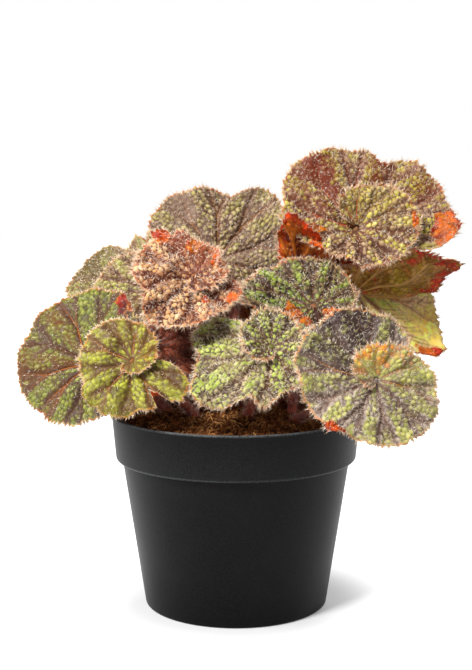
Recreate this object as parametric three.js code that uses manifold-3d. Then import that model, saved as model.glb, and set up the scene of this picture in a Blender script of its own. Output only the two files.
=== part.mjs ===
// A potted begonia: a black nursery pot with a deep collar, filled with potting mix. A creeping
// rhizome lies half sunk in the mix, and each leaf stands on a stalk of its own. The blades are
// toothed and pleated between their veins, and many are coiled like a snail shell at the stalk.
// Millimetres, +Z up. The origin is the middle of the pot's foot, and the front of the plant is -Y.
import * as THREE from "three";
import { mergeVertices } from "three/addons/utils/BufferGeometryUtils.js";
import Module from "manifold-3d";

const wasm = await Module();
wasm.setup();

const CLEARANCE = 0.3; // between pieces that touch
const WELD = 1e-3; // points closer than this are one

// Pot
const POT_HEIGHT = 94;
const RIM_RADIUS = 60;
const FOOT_RADIUS = 44.8;
const COLLAR_HEIGHT = 22;
const COLLAR_FOOT_RADIUS = 58.1;
const COLLAR_FOOT_HEIGHT = POT_HEIGHT - COLLAR_HEIGHT;
const COLLAR_STEP = 3; // how far the collar stands out from the wall under it
const COLLAR_ROUNDING = 1.6; // of the collar's lower corner
const LIP_BEVEL = 0.7;
const POT_WALL = 1.6;
const POT_FLOOR = 2;
const FOOT_LIFT = 2.5; // the floor round the pad stands this far above the foot
const FOOT_RING_WIDTH = 5;
const FOOT_BEVEL = 1.5;
const PAD_RADIUS = 13; // the flat pad in the middle of the foot
const POT_SIDES = 32;
const DRAIN_HOLES = 6;
const DRAIN_RADIUS = 4;
const DRAIN_CIRCLE = 26;
const DRAIN_SIDES = 12;

// Potting mix
const SOIL_EDGE_HEIGHT = 89.5;
const SOIL_CROWN_HEIGHT = 94.5;
const SOIL_RINGS = [0, 24, 42]; // radii of the rings of its top
const SOIL_GAP = 0.5; // to the pot's wall

// Rhizome
const RHIZOME_RADIUS = 5;
const RHIZOME_SIDES = 7;
const RHIZOME_STEPS = 5;
const RHIZOME_LINE = [[-12, 2, 93], [2, 6, 95], [16, 8, 94]];

// Leaf stalks
const STALK_RADIUS = 2.2;
const STALK_SIDES = 6;
const STALK_STEPS = 7;
const STALK_ROOT_HEIGHT = 84; // the foot of each stalk, down in the mix
const STALK_HOLE_GAP = 0.4;
const STALK_RISE = 0.42; // share of its height over which a stalk goes up before it turns
const STALK_LEAN = 0.12; // share of its way out that it has gone by then

// Leaf blades
const BLADE_THICKNESS = 0.9;
const COIL_HEIGHT = 1.5; // of a coil's outer end above the stalk's end
const KNOT_RADIUS = 2.4; // the knot in the middle of a coil
const KNOT_SIDES = 6;
const COIL_EYE = 2; // radius of a coil's inner edge, inside the knot
const RAY_STEP = 12; // degrees between two rays of the fan
const VEIN_STEP = 36; // degrees between two main veins
const PLEAT = 1.5; // how far the blade swells between its veins
const PLEAT_START = 1.6; // how soon it does so on the way out
const TOOTH = 0.035; // depth of the teeth, as a share of the radius
const RING_SHARES = [0, 0.4, 0.74, 1];
const COIL_REACH = 12; // radius at which the turns of a coil are fully apart
const COIL_AT_KNOT = 0.35; // how far they are apart at the knot, as a share
const ROUNDED_END = 24; // degrees over which each end of the fan is rounded off
const ROUNDING = 0.4; // how much shorter the blade is at the very end, as a share
const CLEFT_DEPTH = 0.22; // of the notch in the edge, as a share of the radius
const CLEFT_WIDTH = 9; // degrees from its middle to its side
const KNOT_TAPER = 0.8;

// One entry for each leaf. joint: the upper end of its stalk. face: the way its upper side looks,
// as degrees round from the front towards +X and degrees above the horizon. start, turn and hand:
// the ray where the fan begins, in degrees from downhill, how far it turns, and which way. rays:
// lengths of the blade at even steps along the turn. cleft: the ray of a notch in the edge. lift:
// height of the coil's inner end. cup: how far the edge stands up downhill and sideways. wave,
// waves and phase: the height, number and place of the edge's waves. root: the stalk's foot.
// bow: how far the stalk goes on straight behind the blade.
const LEAVES = [
  { name: "leaf_far_left", joint: [-68, -19, 120], face: [-28, 27], start: 108, turn: 348, hand: 1,
    rays: [33, 36, 38, 42, 41, 33, 30, 27, 23], cleft: 145, lift: 2.5, cup: [-4, -4],
    wave: 1.8, waves: 3, phase: 60, root: [-26, -3], bow: 22 },
  { name: "leaf_front_left", joint: [-46, -43, 124], face: [-12, 26], start: -60, turn: 516, hand: 1,
    rays: [6, 6, 7, 9, 12, 15, 18, 23, 25, 24, 27, 24, 30, 22], cleft: 402, lift: 7, cup: [-3, -3],
    wave: 1.6, waves: 3, phase: 20, root: [-15, -15], bow: 18 },
  { name: "leaf_back_left", joint: [-43, 12, 150], face: [-22, 34], start: 96, turn: 552, hand: 1,
    rays: [8, 12, 16, 22, 25, 26, 22, 17, 25, 21, 16, 20, 34, 45, 47], cleft: 575, lift: 7, cup: [-4, -4],
    wave: 2, waves: 4, phase: 0, root: [-21, 14], bow: 20 },
  { name: "leaf_young_pink", joint: [-19, -22, 160], face: [-6, 36], start: -24, turn: 468, hand: 1,
    rays: [8, 11, 14, 16, 15, 15, 22, 28, 27, 31, 29, 24, 27], cleft: 300, lift: 8, cup: [5, 3],
    wave: 3, waves: 4, phase: 30, root: [-20, -5], bow: 16 },
  { name: "leaf_back_fan", joint: [-9, 34, 165], face: [4, 14], start: 12, turn: 336, hand: 1,
    rays: [25, 29, 31, 44, 36, 40, 37, 30, 25], cleft: 168, lift: 2, cup: [-3, 3],
    wave: 2, waves: 4, phase: 80, root: [-13, 18], bow: 18 },
  { name: "leaf_top_right", joint: [57, 2, 180], face: [4, 34], start: 252, turn: 552, hand: -1,
    rays: [8, 14, 19, 26, 30, 27, 24, 20, 21, 34, 42, 41, 48, 47, 38], cleft: -203, lift: 11, cup: [6, 2],
    wave: 2.2, waves: 3, phase: 200, root: [21, 21], bow: 24 },
  { name: "leaf_red_left", joint: [29, 1, 165], face: [168, 46], start: 96, turn: 192, hand: 1,
    rays: [8, 9, 12, 20, 32, 20, 17, 19, 29, 25], cleft: 0, lift: 1, cup: [2, 2],
    wave: 1.5, waves: 5, phase: 10, root: [27, -6], bow: 8 },
  { name: "leaf_red_right", joint: [57, 3, 151], face: [178, 45], start: 84, turn: 204, hand: 1,
    rays: [16, 18, 20, 18, 16, 15, 16, 16, 18, 20, 23, 30, 38, 43, 53, 42, 42, 30], cleft: 0,
    lift: 1, cup: [3, 3], wave: 2, waves: 5, phase: 10, root: [25, 4], bow: 10 },
  { name: "leaf_right_olive", joint: [59, 12, 151], face: [20, 30], start: -24, turn: 324, hand: 1,
    rays: [19, 21, 26, 38, 49, 46, 42, 34, 22, 14, 9, 9, 9, 9, 10, 11, 13, 15, 18], cleft: 400,
    lift: 2, cup: [-4, -5], wave: 2.2, waves: 3, phase: 0, root: [29, 9], bow: 14 },
  { name: "leaf_middle_green", joint: [36, -22, 147], face: [2, 50], start: 24, turn: 336, hand: 1,
    rays: [20, 16, 21, 24, 27, 31, 34, 30, 24], cleft: 282, lift: 2, cup: [4, 3],
    wave: 2.4, waves: 4, phase: 120, root: [8, -6], bow: 14 },
  { name: "leaf_front_middle", joint: [16, -44, 130], face: [-10, 34], start: 36, turn: 528, hand: -1,
    rays: [7, 8, 10, 12, 16, 18, 16, 15, 19, 24, 29, 41, 37, 29], cleft: -378, lift: 8, cup: [-3, -3],
    wave: 2, waves: 4, phase: 300, root: [3, -17], bow: 16 },
  { name: "leaf_front_right", joint: [61, -54, 117], face: [14, 28], start: -24, turn: 576, hand: -1,
    rays: [5, 8, 12, 14, 15, 20, 26, 31, 31, 30, 34, 37, 36, 32, 27], cleft: -396, lift: 8, cup: [-3, -3],
    wave: 1.8, waves: 4, phase: 100, root: [21, -17], bow: 16 },
  { name: "leaf_left_shade", joint: [-38, -13, 128], face: [-8, 46], start: 168, turn: 348, hand: -1,
    rays: [14, 15, 23, 17, 21, 21, 20, 17, 14], cleft: 0, lift: 2, cup: [-4, -4],
    wave: 1.8, waves: 3, phase: 40, root: [-21, 4], bow: 12 },
  { name: "leaf_rear_left", joint: [-51, 54, 128], face: [-132, 38], start: 192, turn: 348, hand: 1,
    rays: [26, 29, 32, 35, 37, 35, 32, 29, 26], cleft: 420, lift: 2, cup: [-6, -5],
    wave: 2.4, waves: 4, phase: 0, root: [-16, 26], bow: 16 },
  { name: "leaf_rear_middle", joint: [0, 62, 146], face: [176, 36], start: -36, turn: 480, hand: 1,
    rays: [9, 13, 17, 21, 24, 26, 28, 30, 33, 34, 33, 30, 27], cleft: 360, lift: 7, cup: [-4, -3],
    wave: 2.4, waves: 4, phase: 50, root: [-3, 28], bow: 16 },
  { name: "leaf_rear_right", joint: [42, 54, 156], face: [140, 36], start: 168, turn: 348, hand: -1,
    rays: [26, 29, 33, 36, 37, 35, 33, 30, 26], cleft: -40, lift: 2, cup: [-6, -5],
    wave: 2.4, waves: 4, phase: 90, root: [10, 32], bow: 16 },
  { name: "leaf_side_left", joint: [-66, 24, 112], face: [-96, 34], start: 192, turn: 348, hand: 1,
    rays: [21, 24, 27, 29, 30, 29, 27, 24, 21], cleft: 320, lift: 2, cup: [-5, -5],
    wave: 2, waves: 4, phase: 20, root: [-29, 16], bow: 14 },
  { name: "leaf_side_right", joint: [74, 18, 112], face: [92, 34], start: -48, turn: 480, hand: -1,
    rays: [8, 11, 14, 17, 20, 22, 24, 26, 28, 30, 30, 27, 24], cleft: -340, lift: 6, cup: [-4, -3],
    wave: 2, waves: 4, phase: 70, root: [31, 20], bow: 14 },
  { name: "leaf_low_rear", joint: [2, 75, 108], face: [172, 30], start: 168, turn: 348, hand: -1,
    rays: [20, 23, 26, 28, 29, 28, 26, 23, 20], cleft: -10, lift: 2, cup: [-5, -5],
    wave: 2, waves: 4, phase: 10, root: [4, 38], bow: 14 },
];

const potFinish = new THREE.MeshStandardMaterial({ color: 0x1d1f20, roughness: 0.55, metalness: 0 });
const soilFinish = new THREE.MeshStandardMaterial({ color: 0x3a2415, roughness: 1, metalness: 0 });
const stalkFinish = new THREE.MeshStandardMaterial({ color: 0x6b2a22, roughness: 0.7, metalness: 0 });
const leafFinish = new THREE.MeshStandardMaterial({ color: 0x7d7a4c, roughness: 0.65, metalness: 0 });
const pinkFinish = new THREE.MeshStandardMaterial({ color: 0xa8705a, roughness: 0.7, metalness: 0 });
const redFinish = new THREE.MeshStandardMaterial({ color: 0xa4401c, roughness: 0.6, metalness: 0 });

const radians = THREE.MathUtils.degToRad;
const clamp = THREE.MathUtils.clamp;
const smooth = (x) => THREE.MathUtils.smoothstep(x, 0, 1);

// A geometry as a solid that can be cut and joined.
function solidOf(geometry) {
  const bare = new THREE.BufferGeometry().setAttribute("position", geometry.getAttribute("position"));
  const merged = mergeVertices(geometry.index ? bare.setIndex(geometry.index) : bare, WELD);
  const corners = merged.index.array;
  const faces = [];
  for (let k = 0; k < corners.length; k += 3) {
    const [a, b, c] = [corners[k], corners[k + 1], corners[k + 2]];
    if (a !== b && b !== c && c !== a) faces.push(a, b, c);
  }
  return new wasm.Manifold(new wasm.Mesh({
    numProp: 3,
    vertProperties: new Float32Array(merged.attributes.position.array),
    triVerts: new Uint32Array(faces),
  }));
}

// A solid as a geometry again.
function geometryOf(solid) {
  const mesh = solid.getMesh();
  const geometry = new THREE.BufferGeometry();
  geometry.setAttribute("position", new THREE.BufferAttribute(new Float32Array(mesh.vertProperties), 3));
  geometry.setIndex(new THREE.BufferAttribute(new Uint32Array(mesh.triVerts), 1));
  geometry.computeVertexNormals();
  return geometry;
}

// A profile of [radius, height] points turned about the vertical axis.
function turned(profile) {
  const points = profile.map(([radius, height]) => new THREE.Vector2(radius, height));
  const geometry = new THREE.LatheGeometry(points, POT_SIDES);
  geometry.rotateX(Math.PI / 2);
  return geometry;
}

// A round rod of the given radius along a curve, with closed ends.
function rod(curve, radius, sides, steps) {
  const section = new THREE.Shape();
  for (let i = 0; i < sides; i++) {
    const angle = (2 * Math.PI * i) / sides;
    const corner = [radius * Math.cos(angle), radius * Math.sin(angle)];
    if (i) section.lineTo(...corner);
    else section.moveTo(...corner);
  }
  return new THREE.ExtrudeGeometry(section, { steps, extrudePath: curve, bevelEnabled: false });
}

// The outer radius of the pot's body under the collar, at a height above the foot.
function bodyRadius(height) {
  const share = height / COLLAR_FOOT_HEIGHT;
  return THREE.MathUtils.lerp(FOOT_RADIUS, COLLAR_FOOT_RADIUS - COLLAR_STEP, share);
}

// The inside of the pot from the floor up to the collar, moved inwards by a gap.
function insideProfile(gap) {
  const wall = POT_WALL + gap;
  const floor = FOOT_LIFT + POT_FLOOR + gap;
  return [
    [0, floor],
    [bodyRadius(floor) - wall, floor],
    [bodyRadius(COLLAR_FOOT_HEIGHT) - wall, COLLAR_FOOT_HEIGHT + COLLAR_ROUNDING],
    [COLLAR_FOOT_RADIUS - wall, COLLAR_FOOT_HEIGHT + COLLAR_ROUNDING + POT_WALL],
  ];
}

// The pot: a tapered body on a foot ring and a pad, a collar that steps out round its top, a lip.
function makePot() {
  const profile = [
    [0, 0],
    [PAD_RADIUS, 0],
    [PAD_RADIUS + FOOT_BEVEL, FOOT_LIFT],
    [FOOT_RADIUS - FOOT_RING_WIDTH, FOOT_LIFT],
    [FOOT_RADIUS - FOOT_RING_WIDTH + FOOT_BEVEL, 0],
    [FOOT_RADIUS - FOOT_BEVEL, 0],
    [bodyRadius(FOOT_BEVEL), FOOT_BEVEL],
    [bodyRadius(COLLAR_FOOT_HEIGHT), COLLAR_FOOT_HEIGHT],
    [COLLAR_FOOT_RADIUS - COLLAR_ROUNDING, COLLAR_FOOT_HEIGHT],
    [COLLAR_FOOT_RADIUS, COLLAR_FOOT_HEIGHT + COLLAR_ROUNDING],
    [RIM_RADIUS, POT_HEIGHT - LIP_BEVEL],
    [RIM_RADIUS - LIP_BEVEL, POT_HEIGHT],
    [RIM_RADIUS - POT_WALL, POT_HEIGHT],
    ...insideProfile(0).reverse(),
  ];
  let pot = solidOf(turned(profile));
  for (let i = 0; i < DRAIN_HOLES; i++) {
    const angle = (2 * Math.PI * i) / DRAIN_HOLES;
    const hole = new THREE.CylinderGeometry(DRAIN_RADIUS, DRAIN_RADIUS, 2 * POT_FLOOR, DRAIN_SIDES);
    hole.rotateX(Math.PI / 2);
    hole.translate(
      DRAIN_CIRCLE * Math.cos(angle), DRAIN_CIRCLE * Math.sin(angle), FOOT_LIFT + POT_FLOOR / 2);
    pot = pot.subtract(solidOf(hole));
  }
  return pot;
}

// The potting mix before its holes are made: it fills the pot and rises to a low crown in the middle.
function makeSoil() {
  const profile = insideProfile(SOIL_GAP);
  const edge = profile[profile.length - 1][0];
  profile.push([edge, SOIL_EDGE_HEIGHT]);
  for (const radius of [...SOIL_RINGS].reverse()) {
    const share = 1 - (radius / edge) ** 2;
    profile.push([radius, THREE.MathUtils.lerp(SOIL_EDGE_HEIGHT, SOIL_CROWN_HEIGHT, share)]);
  }
  return solidOf(turned(profile));
}

// The rhizome: a creeping stem with round ends, larger all round by extra.
function makeRhizome(extra) {
  const curve = new THREE.CatmullRomCurve3(RHIZOME_LINE.map((point) => new THREE.Vector3(...point)));
  const radius = RHIZOME_RADIUS + extra;
  let whole = solidOf(rod(curve, radius, RHIZOME_SIDES, RHIZOME_STEPS));
  for (const end of [curve.getPoint(0), curve.getPoint(1)]) {
    const ball = new THREE.SphereGeometry(radius, RHIZOME_SIDES, RHIZOME_STEPS);
    ball.translate(end.x, end.y, end.z);
    whole = whole.add(solidOf(ball));
  }
  return whole;
}

// The axes of a leaf: downhill, sideways and the way that its upper side looks.
function leafAxes(leaf) {
  const [round, above] = leaf.face.map(radians);
  const down = new THREE.Vector3(
    Math.sin(round) * Math.sin(above), -Math.cos(round) * Math.sin(above), -Math.cos(above));
  const side = new THREE.Vector3(Math.cos(round), Math.sin(round), 0);
  const out = new THREE.Vector3().crossVectors(down, side);
  return { down, side, out };
}

// A stalk's line: up out of the mix, then in behind the blade along the blade's own axis.
function stalkCurve(leaf) {
  const joint = new THREE.Vector3(...leaf.joint);
  const root = new THREE.Vector3(...leaf.root, STALK_ROOT_HEIGHT);
  const behind = joint.clone().addScaledVector(leafAxes(leaf).out, -leaf.bow);
  const lean = behind.clone().sub(root).multiplyScalar(STALK_LEAN);
  const rise = (joint.z - STALK_ROOT_HEIGHT) * STALK_RISE;
  const above = root.clone().add(new THREE.Vector3(lean.x, lean.y, rise));
  return new THREE.CubicBezierCurve3(root, above, behind, joint);
}

// The hole that a stalk stands in, a little wider and deeper than the stalk.
function makeStalkHole(leaf) {
  const radius = STALK_RADIUS + STALK_HOLE_GAP;
  const wide = radius + STALK_HOLE_GAP;
  const foot = new THREE.CylinderGeometry(wide, wide, 2 * STALK_RADIUS, STALK_SIDES);
  foot.rotateX(Math.PI / 2);
  foot.translate(...leaf.root, STALK_ROOT_HEIGHT);
  return solidOf(rod(stalkCurve(leaf), radius, STALK_SIDES, STALK_STEPS)).add(solidOf(foot));
}

// True if the fan overlaps itself.
function isCoiled(leaf) {
  return leaf.turn > 360;
}

// The length of a blade's ray, turned phi degrees from the fan's inner end.
function rayLength(leaf, phi) {
  const place = (phi / leaf.turn) * (leaf.rays.length - 1);
  const before = Math.min(Math.floor(place), leaf.rays.length - 2);
  const length = THREE.MathUtils.lerp(leaf.rays[before], leaf.rays[before + 1], smooth(place - before));
  const fromEnd = Math.min(phi, leaf.turn - phi);
  const rounded = 1 - ROUNDING * (1 - clamp(fromEnd / ROUNDED_END, 0, 1)) ** 2;
  const alpha = leaf.start + leaf.hand * phi;
  const notch = 1 - CLEFT_DEPTH * Math.exp(-(((alpha - leaf.cleft) / CLEFT_WIDTH) ** 2));
  return length * rounded * notch;
}

// The height of the blade over its plane, at a point of a ray.
function bladeHeight(leaf, phi, alpha, radius) {
  const out = radius / Math.max(...leaf.rays);
  const atKnot = isCoiled(leaf) ? COIL_AT_KNOT : 0;
  const apart = atKnot + (1 - atKnot) * Math.min(1, radius / COIL_REACH);
  const coil = leaf.lift * (1 - phi / leaf.turn) * apart;
  const [downhill, sideways] = leaf.cup;
  const across = Math.sin(radians(alpha)) ** 2;
  const cup = (downhill * (1 - across) + sideways * across) * out ** 2;
  const wave = leaf.wave * out ** 2.5 * Math.sin(radians(leaf.waves * alpha + leaf.phase));
  const swell = PLEAT * Math.abs(Math.sin(radians((180 * alpha) / VEIN_STEP))) * smooth(out * PLEAT_START);
  const foot = isCoiled(leaf) ? COIL_HEIGHT : CLEARANCE + BLADE_THICKNESS / 2;
  return foot + coil + cup + wave + swell;
}

// A blade: a fan of rays, as a closed sheet of even thickness. A coil is joined to its knot.
function makeBlade(leaf) {
  const rays = Math.round(leaf.turn / RAY_STEP);
  const rings = RING_SHARES.length;
  const eye = isCoiled(leaf) ? COIL_EYE : 0;
  const upper = [];
  const lower = [];
  for (let i = 0; i <= rays; i++) {
    const phi = (leaf.turn * i) / rays;
    const alpha = leaf.start + leaf.hand * phi;
    const tooth = 1 + TOOTH * (i % 2 ? 1 : -1);
    for (const share of RING_SHARES) {
      const length = rayLength(leaf, phi) * (share === 1 ? tooth : 1);
      const radius = eye + (length - eye) * share;
      const x = radius * Math.cos(radians(alpha));
      const y = radius * Math.sin(radians(alpha));
      const z = bladeHeight(leaf, phi, alpha, radius);
      upper.push(x, y, z + BLADE_THICKNESS / 2);
      lower.push(x, y, z - BLADE_THICKNESS / 2);
    }
  }
  const count = upper.length / 3;
  const index = [];
  const at = (i, j) => i * rings + j;
  const quad = (a, b, c, d) => index.push(a, b, c, a, c, d);
  for (let i = 0; i < rays; i++) {
    for (let j = 0; j < rings - 1; j++) {
      quad(at(i, j), at(i, j + 1), at(i + 1, j + 1), at(i + 1, j));
      const [a, b, c, d] = [at(i, j), at(i, j + 1), at(i + 1, j + 1), at(i + 1, j)].map((k) => k + count);
      index.push(a, c, b, a, d, c);
    }
    quad(at(i, 0) + count, at(i, 0), at(i + 1, 0), at(i + 1, 0) + count);
    quad(at(i, rings - 1), at(i, rings - 1) + count, at(i + 1, rings - 1) + count, at(i + 1, rings - 1));
  }
  for (let j = 0; j < rings - 1; j++) {
    quad(at(0, j), at(0, j) + count, at(0, j + 1) + count, at(0, j + 1));
    quad(at(rays, j) + count, at(rays, j), at(rays, j + 1), at(rays, j + 1) + count);
  }
  if (leaf.hand < 0) {
    for (let k = 0; k < index.length; k += 3) [index[k + 1], index[k + 2]] = [index[k + 2], index[k + 1]];
  }
  const sheet = new THREE.BufferGeometry();
  sheet.setAttribute("position", new THREE.BufferAttribute(new Float32Array([...upper, ...lower]), 3));
  sheet.setIndex(index);
  if (!isCoiled(leaf)) return geometryOf(solidOf(sheet));
  const top = COIL_HEIGHT + leaf.lift * COIL_AT_KNOT + BLADE_THICKNESS;
  const knot = new THREE.CylinderGeometry(
    KNOT_RADIUS * KNOT_TAPER, KNOT_RADIUS, top - CLEARANCE, KNOT_SIDES);
  knot.rotateX(Math.PI / 2);
  knot.translate(0, 0, (top + CLEARANCE) / 2);
  return geometryOf(solidOf(sheet).add(solidOf(knot)));
}

function finishOf(leaf) {
  if (leaf.name === "leaf_young_pink") return pinkFinish;
  return leaf.name.startsWith("leaf_red") ? redFinish : leafFinish;
}

const plant = new THREE.Group();

function place(name, geometry, material) {
  const mesh = new THREE.Mesh(geometry, material);
  mesh.name = name;
  plant.add(mesh);
  return mesh;
}

let soil = makeSoil().subtract(makeRhizome(CLEARANCE));
for (const leaf of LEAVES) soil = soil.subtract(makeStalkHole(leaf));

place("pot", geometryOf(makePot()), potFinish);
place("soil", geometryOf(soil), soilFinish);
place("rhizome", geometryOf(makeRhizome(0)), stalkFinish);
for (const leaf of LEAVES) {
  const stalk = rod(stalkCurve(leaf), STALK_RADIUS, STALK_SIDES, STALK_STEPS);
  place(leaf.name.replace("leaf", "stalk"), stalk, stalkFinish);
  const blade = place(leaf.name, makeBlade(leaf), finishOf(leaf));
  const { down, side, out } = leafAxes(leaf);
  blade.position.set(...leaf.joint);
  blade.quaternion.setFromRotationMatrix(new THREE.Matrix4().makeBasis(down, side, out));
}

export default plant;
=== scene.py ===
"""A potted begonia, dressed for its portrait.

A black nursery pot with a deep collar holds brown coir mix. A creeping rhizome lies half sunk in
it, and nineteen leaves stand on hairy stalks of their own. Each blade is a fan of rays round its
stalk's end, often coiled like a snail shell, and it is puckered between its veins.

Lengths are in millimetres until they reach a mesh, angles in degrees. +Z is up and the front of
the plant looks along -Y.
"""

import logging
import math
from dataclasses import dataclass, field, replace
from enum import Enum

import bpy
import numpy as np
from mathutils import Matrix


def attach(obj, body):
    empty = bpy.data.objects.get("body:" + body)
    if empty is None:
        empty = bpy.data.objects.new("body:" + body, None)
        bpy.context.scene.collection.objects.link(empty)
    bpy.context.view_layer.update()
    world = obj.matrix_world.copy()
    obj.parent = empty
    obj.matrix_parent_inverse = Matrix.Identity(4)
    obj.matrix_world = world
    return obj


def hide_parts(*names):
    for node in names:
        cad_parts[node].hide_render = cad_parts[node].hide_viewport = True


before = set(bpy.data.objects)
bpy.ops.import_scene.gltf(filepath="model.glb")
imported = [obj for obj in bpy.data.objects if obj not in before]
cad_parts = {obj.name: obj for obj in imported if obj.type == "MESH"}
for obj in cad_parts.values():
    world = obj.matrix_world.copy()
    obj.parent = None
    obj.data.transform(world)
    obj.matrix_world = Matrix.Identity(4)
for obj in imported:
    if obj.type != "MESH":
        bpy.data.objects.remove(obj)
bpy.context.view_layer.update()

logging.basicConfig(level=logging.INFO, format="%(message)s")
log = logging.getLogger("begonia")

MM = 0.001
Colour = tuple[float, float, float]
Place = tuple[float, float, float]
Array = np.ndarray
Finish = bpy.types.Material
Piece = bpy.types.Object


# ---------------------------------------------------------------------------- small helpers


def paint(red: int, green: int, blue: int) -> Colour:
    """A colour given as it looks on a screen, 0 to 255, as linear light.

    Args:
        red: Share of red.
        green: Share of green.
        blue: Share of blue.

    Returns:
        The same colour as linear red, green and blue from 0 to 1.
    """
    share = np.array([red, green, blue]) / 255.0
    linear = np.where(share <= 0.04045, share / 12.92, ((share + 0.055) / 1.055) ** 2.4)
    return tuple(float(v) for v in linear)


def smoothstep(x: Array, low: float = 0.0, high: float = 1.0) -> Array:
    """Rises from 0 at low to 1 at high as 3t^2 - 2t^3.

    Args:
        x: Values.
        low: Where the rise starts.
        high: Where it ends.

    Returns:
        The risen values, from 0 to 1.
    """
    t = np.clip((x - low) / (high - low), 0.0, 1.0)
    return t * t * (3.0 - 2.0 * t)


def bell(x: Array, width: float) -> Array:
    """A bell over x: exp(-(x / width)^2)."""
    return np.exp(-((x / width) ** 2))


def unit(vectors: Array) -> Array:
    """Vectors of length 1 with the same directions, along the last axis."""
    return vectors / np.maximum(np.linalg.norm(vectors, axis=-1, keepdims=True), 1e-9)


def seed_of(name: str) -> int:
    """A number that belongs to a name: the sum of its letters' codes times their places."""
    codes = np.frombuffer(name.encode(), np.uint8).astype(np.int64)
    return int((codes * np.arange(1, len(codes) + 1)).sum())


def value_noise(points: Array, size: float, seed: int) -> Array:
    """Smooth noise from -1 to 1: random values on a cubic lattice, blended by smoothstep.

    Args:
        points: Places, of shape (..., 3).
        size: Distance between lattice points.
        seed: Number that picks the random values.

    Returns:
        One value for each place.
    """
    table = np.random.default_rng(seed).uniform(-1.0, 1.0, 4096)
    place = points / size + 97.0
    cell = np.floor(place).astype(np.int64)
    share = smoothstep(place - cell)
    total = np.zeros(points.shape[:-1])
    for corner in range(8):
        step = np.array([corner & 1, corner >> 1 & 1, corner >> 2 & 1])
        at = cell + step
        key = (at[..., 0] * 73 + at[..., 1] * 179 + at[..., 2] * 283) % 4096
        weight = np.where(step == 1, share, 1.0 - share).prod(-1)
        total += weight * table[key]
    return total


def nearest_line(points: Array, starts: Array, ends: Array) -> tuple[Array, Array]:
    """The distance from each point to the nearest of some line segments, and which one that is.

    Each point is dropped square onto a segment, held between the segment's ends, and measured.

    Args:
        points: Places, of shape (n, 3).
        starts: The segments' first ends, of shape (m, 3).
        ends: Their other ends.

    Returns:
        One distance for each place, and the number of its segment.
    """
    nearest = np.full(len(points), 1e6)
    owner = np.zeros(len(points), int)
    for number, (start, end) in enumerate(zip(starts, ends)):
        along = end - start
        share = np.clip((points - start) @ along / max(along @ along, 1e-9), 0.0, 1.0)
        gap = np.linalg.norm(points - start - share[:, None] * along, axis=1)
        owner = np.where(gap < nearest, number, owner)
        nearest = np.minimum(nearest, gap)
    return nearest, owner


def around(sides: int) -> Array:
    """Angles of some even steps once round, in radians."""
    return np.linspace(0.0, 2.0 * np.pi, sides, endpoint=False)


def hoop(ahead: Array, aside: Place, sides: int) -> Array:
    """Directions all round some others, as the spokes of a wheel lie round its axle.

    The first vector is square to the axle and to a fixed direction, and the second is square to
    both. The spoke at an angle t is first cos t + second sin t.

    Args:
        ahead: Unit directions of the axles, of shape (..., 3).
        aside: The fixed direction.
        sides: Number of spokes.

    Returns:
        Unit directions, of shape (..., sides, 3).
    """
    first = unit(np.cross(ahead, aside))
    second = np.cross(ahead, first)
    angle = around(sides)[:, None]
    return first[..., None, :] * np.cos(angle) + second[..., None, :] * np.sin(angle)


@dataclass
class Shape:
    """Points and faces that can be joined to others before they become one mesh."""

    points: Array
    faces: list[Array]
    marks: dict[str, Array] = field(default_factory=dict)

    def moved(self, origin: Array, axes: Array) -> "Shape":
        """The same shape with its own axes turned to three given ones.

        Args:
            origin: Where its origin goes.
            axes: The new x, y and z axes as rows.

        Returns:
            A new shape.
        """
        return Shape(origin + self.points @ axes, self.faces, self.marks)

    @staticmethod
    def joined(shapes: list["Shape"]) -> "Shape":
        """Several shapes as one. A mark that a shape lacks is 0 there.

        Args:
            shapes: The shapes, in order.

        Returns:
            One shape that holds them all.
        """
        offsets = np.cumsum([0] + [len(s.points) for s in shapes])
        names = sorted({name for s in shapes for name in s.marks})
        marks = {
            name: np.concatenate([s.marks.get(name, np.zeros(len(s.points))) for s in shapes])
            for name in names
        }
        faces = [f + offset for s, offset in zip(shapes, offsets) for f in s.faces]
        return Shape(np.concatenate([s.points for s in shapes]), faces, marks)

    def to_object(self, name: str, finish: Finish, smooth: bool = True) -> Piece:
        """Puts the shape into a mesh in metres.

        Args:
            name: Name of the object and its mesh.
            finish: Its material.
            smooth: True for smooth shading.

        Returns:
            The new object, linked to the scene.
        """
        mesh = bpy.data.meshes.new(name)
        mesh.vertices.add(len(self.points))
        mesh.vertices.foreach_set("co", (self.points * MM).astype(np.float32).ravel())
        corners = np.concatenate([f.ravel() for f in self.faces]).astype(np.int32)
        sizes = np.concatenate([np.full(len(f), f.shape[1]) for f in self.faces])
        mesh.loops.add(len(corners))
        mesh.loops.foreach_set("vertex_index", corners)
        mesh.polygons.add(len(sizes))
        starts = np.concatenate([[0], np.cumsum(sizes)[:-1]]).astype(np.int32)
        mesh.polygons.foreach_set("loop_start", starts)
        mesh.polygons.foreach_set("use_smooth", np.full(len(sizes), smooth))
        mesh.update(calc_edges=True)
        for mark, values in self.marks.items():
            layer = mesh.attributes.new(mark, "FLOAT", "POINT")
            layer.data.foreach_set("value", values.astype(np.float32))
        mesh.materials.append(finish)
        piece = bpy.data.objects.new(name, mesh)
        bpy.context.scene.collection.objects.link(piece)
        return piece


def grid_faces(rows: int, columns: int, wrap: bool = False) -> Array:
    """The four-sided faces of a grid of points that are numbered row by row.

    Args:
        rows: Number of rows of points.
        columns: Number of points in a row.
        wrap: True if the last column joins the first.

    Returns:
        Faces as point numbers, of shape (n, 4).
    """
    i, j = np.meshgrid(np.arange(rows - 1), np.arange(columns if wrap else columns - 1), indexing="ij")
    k = (j + 1) % columns
    quads = [i * columns + j, i * columns + k, (i + 1) * columns + k, (i + 1) * columns + j]
    return np.stack(quads, -1).reshape(-1, 4)


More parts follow.
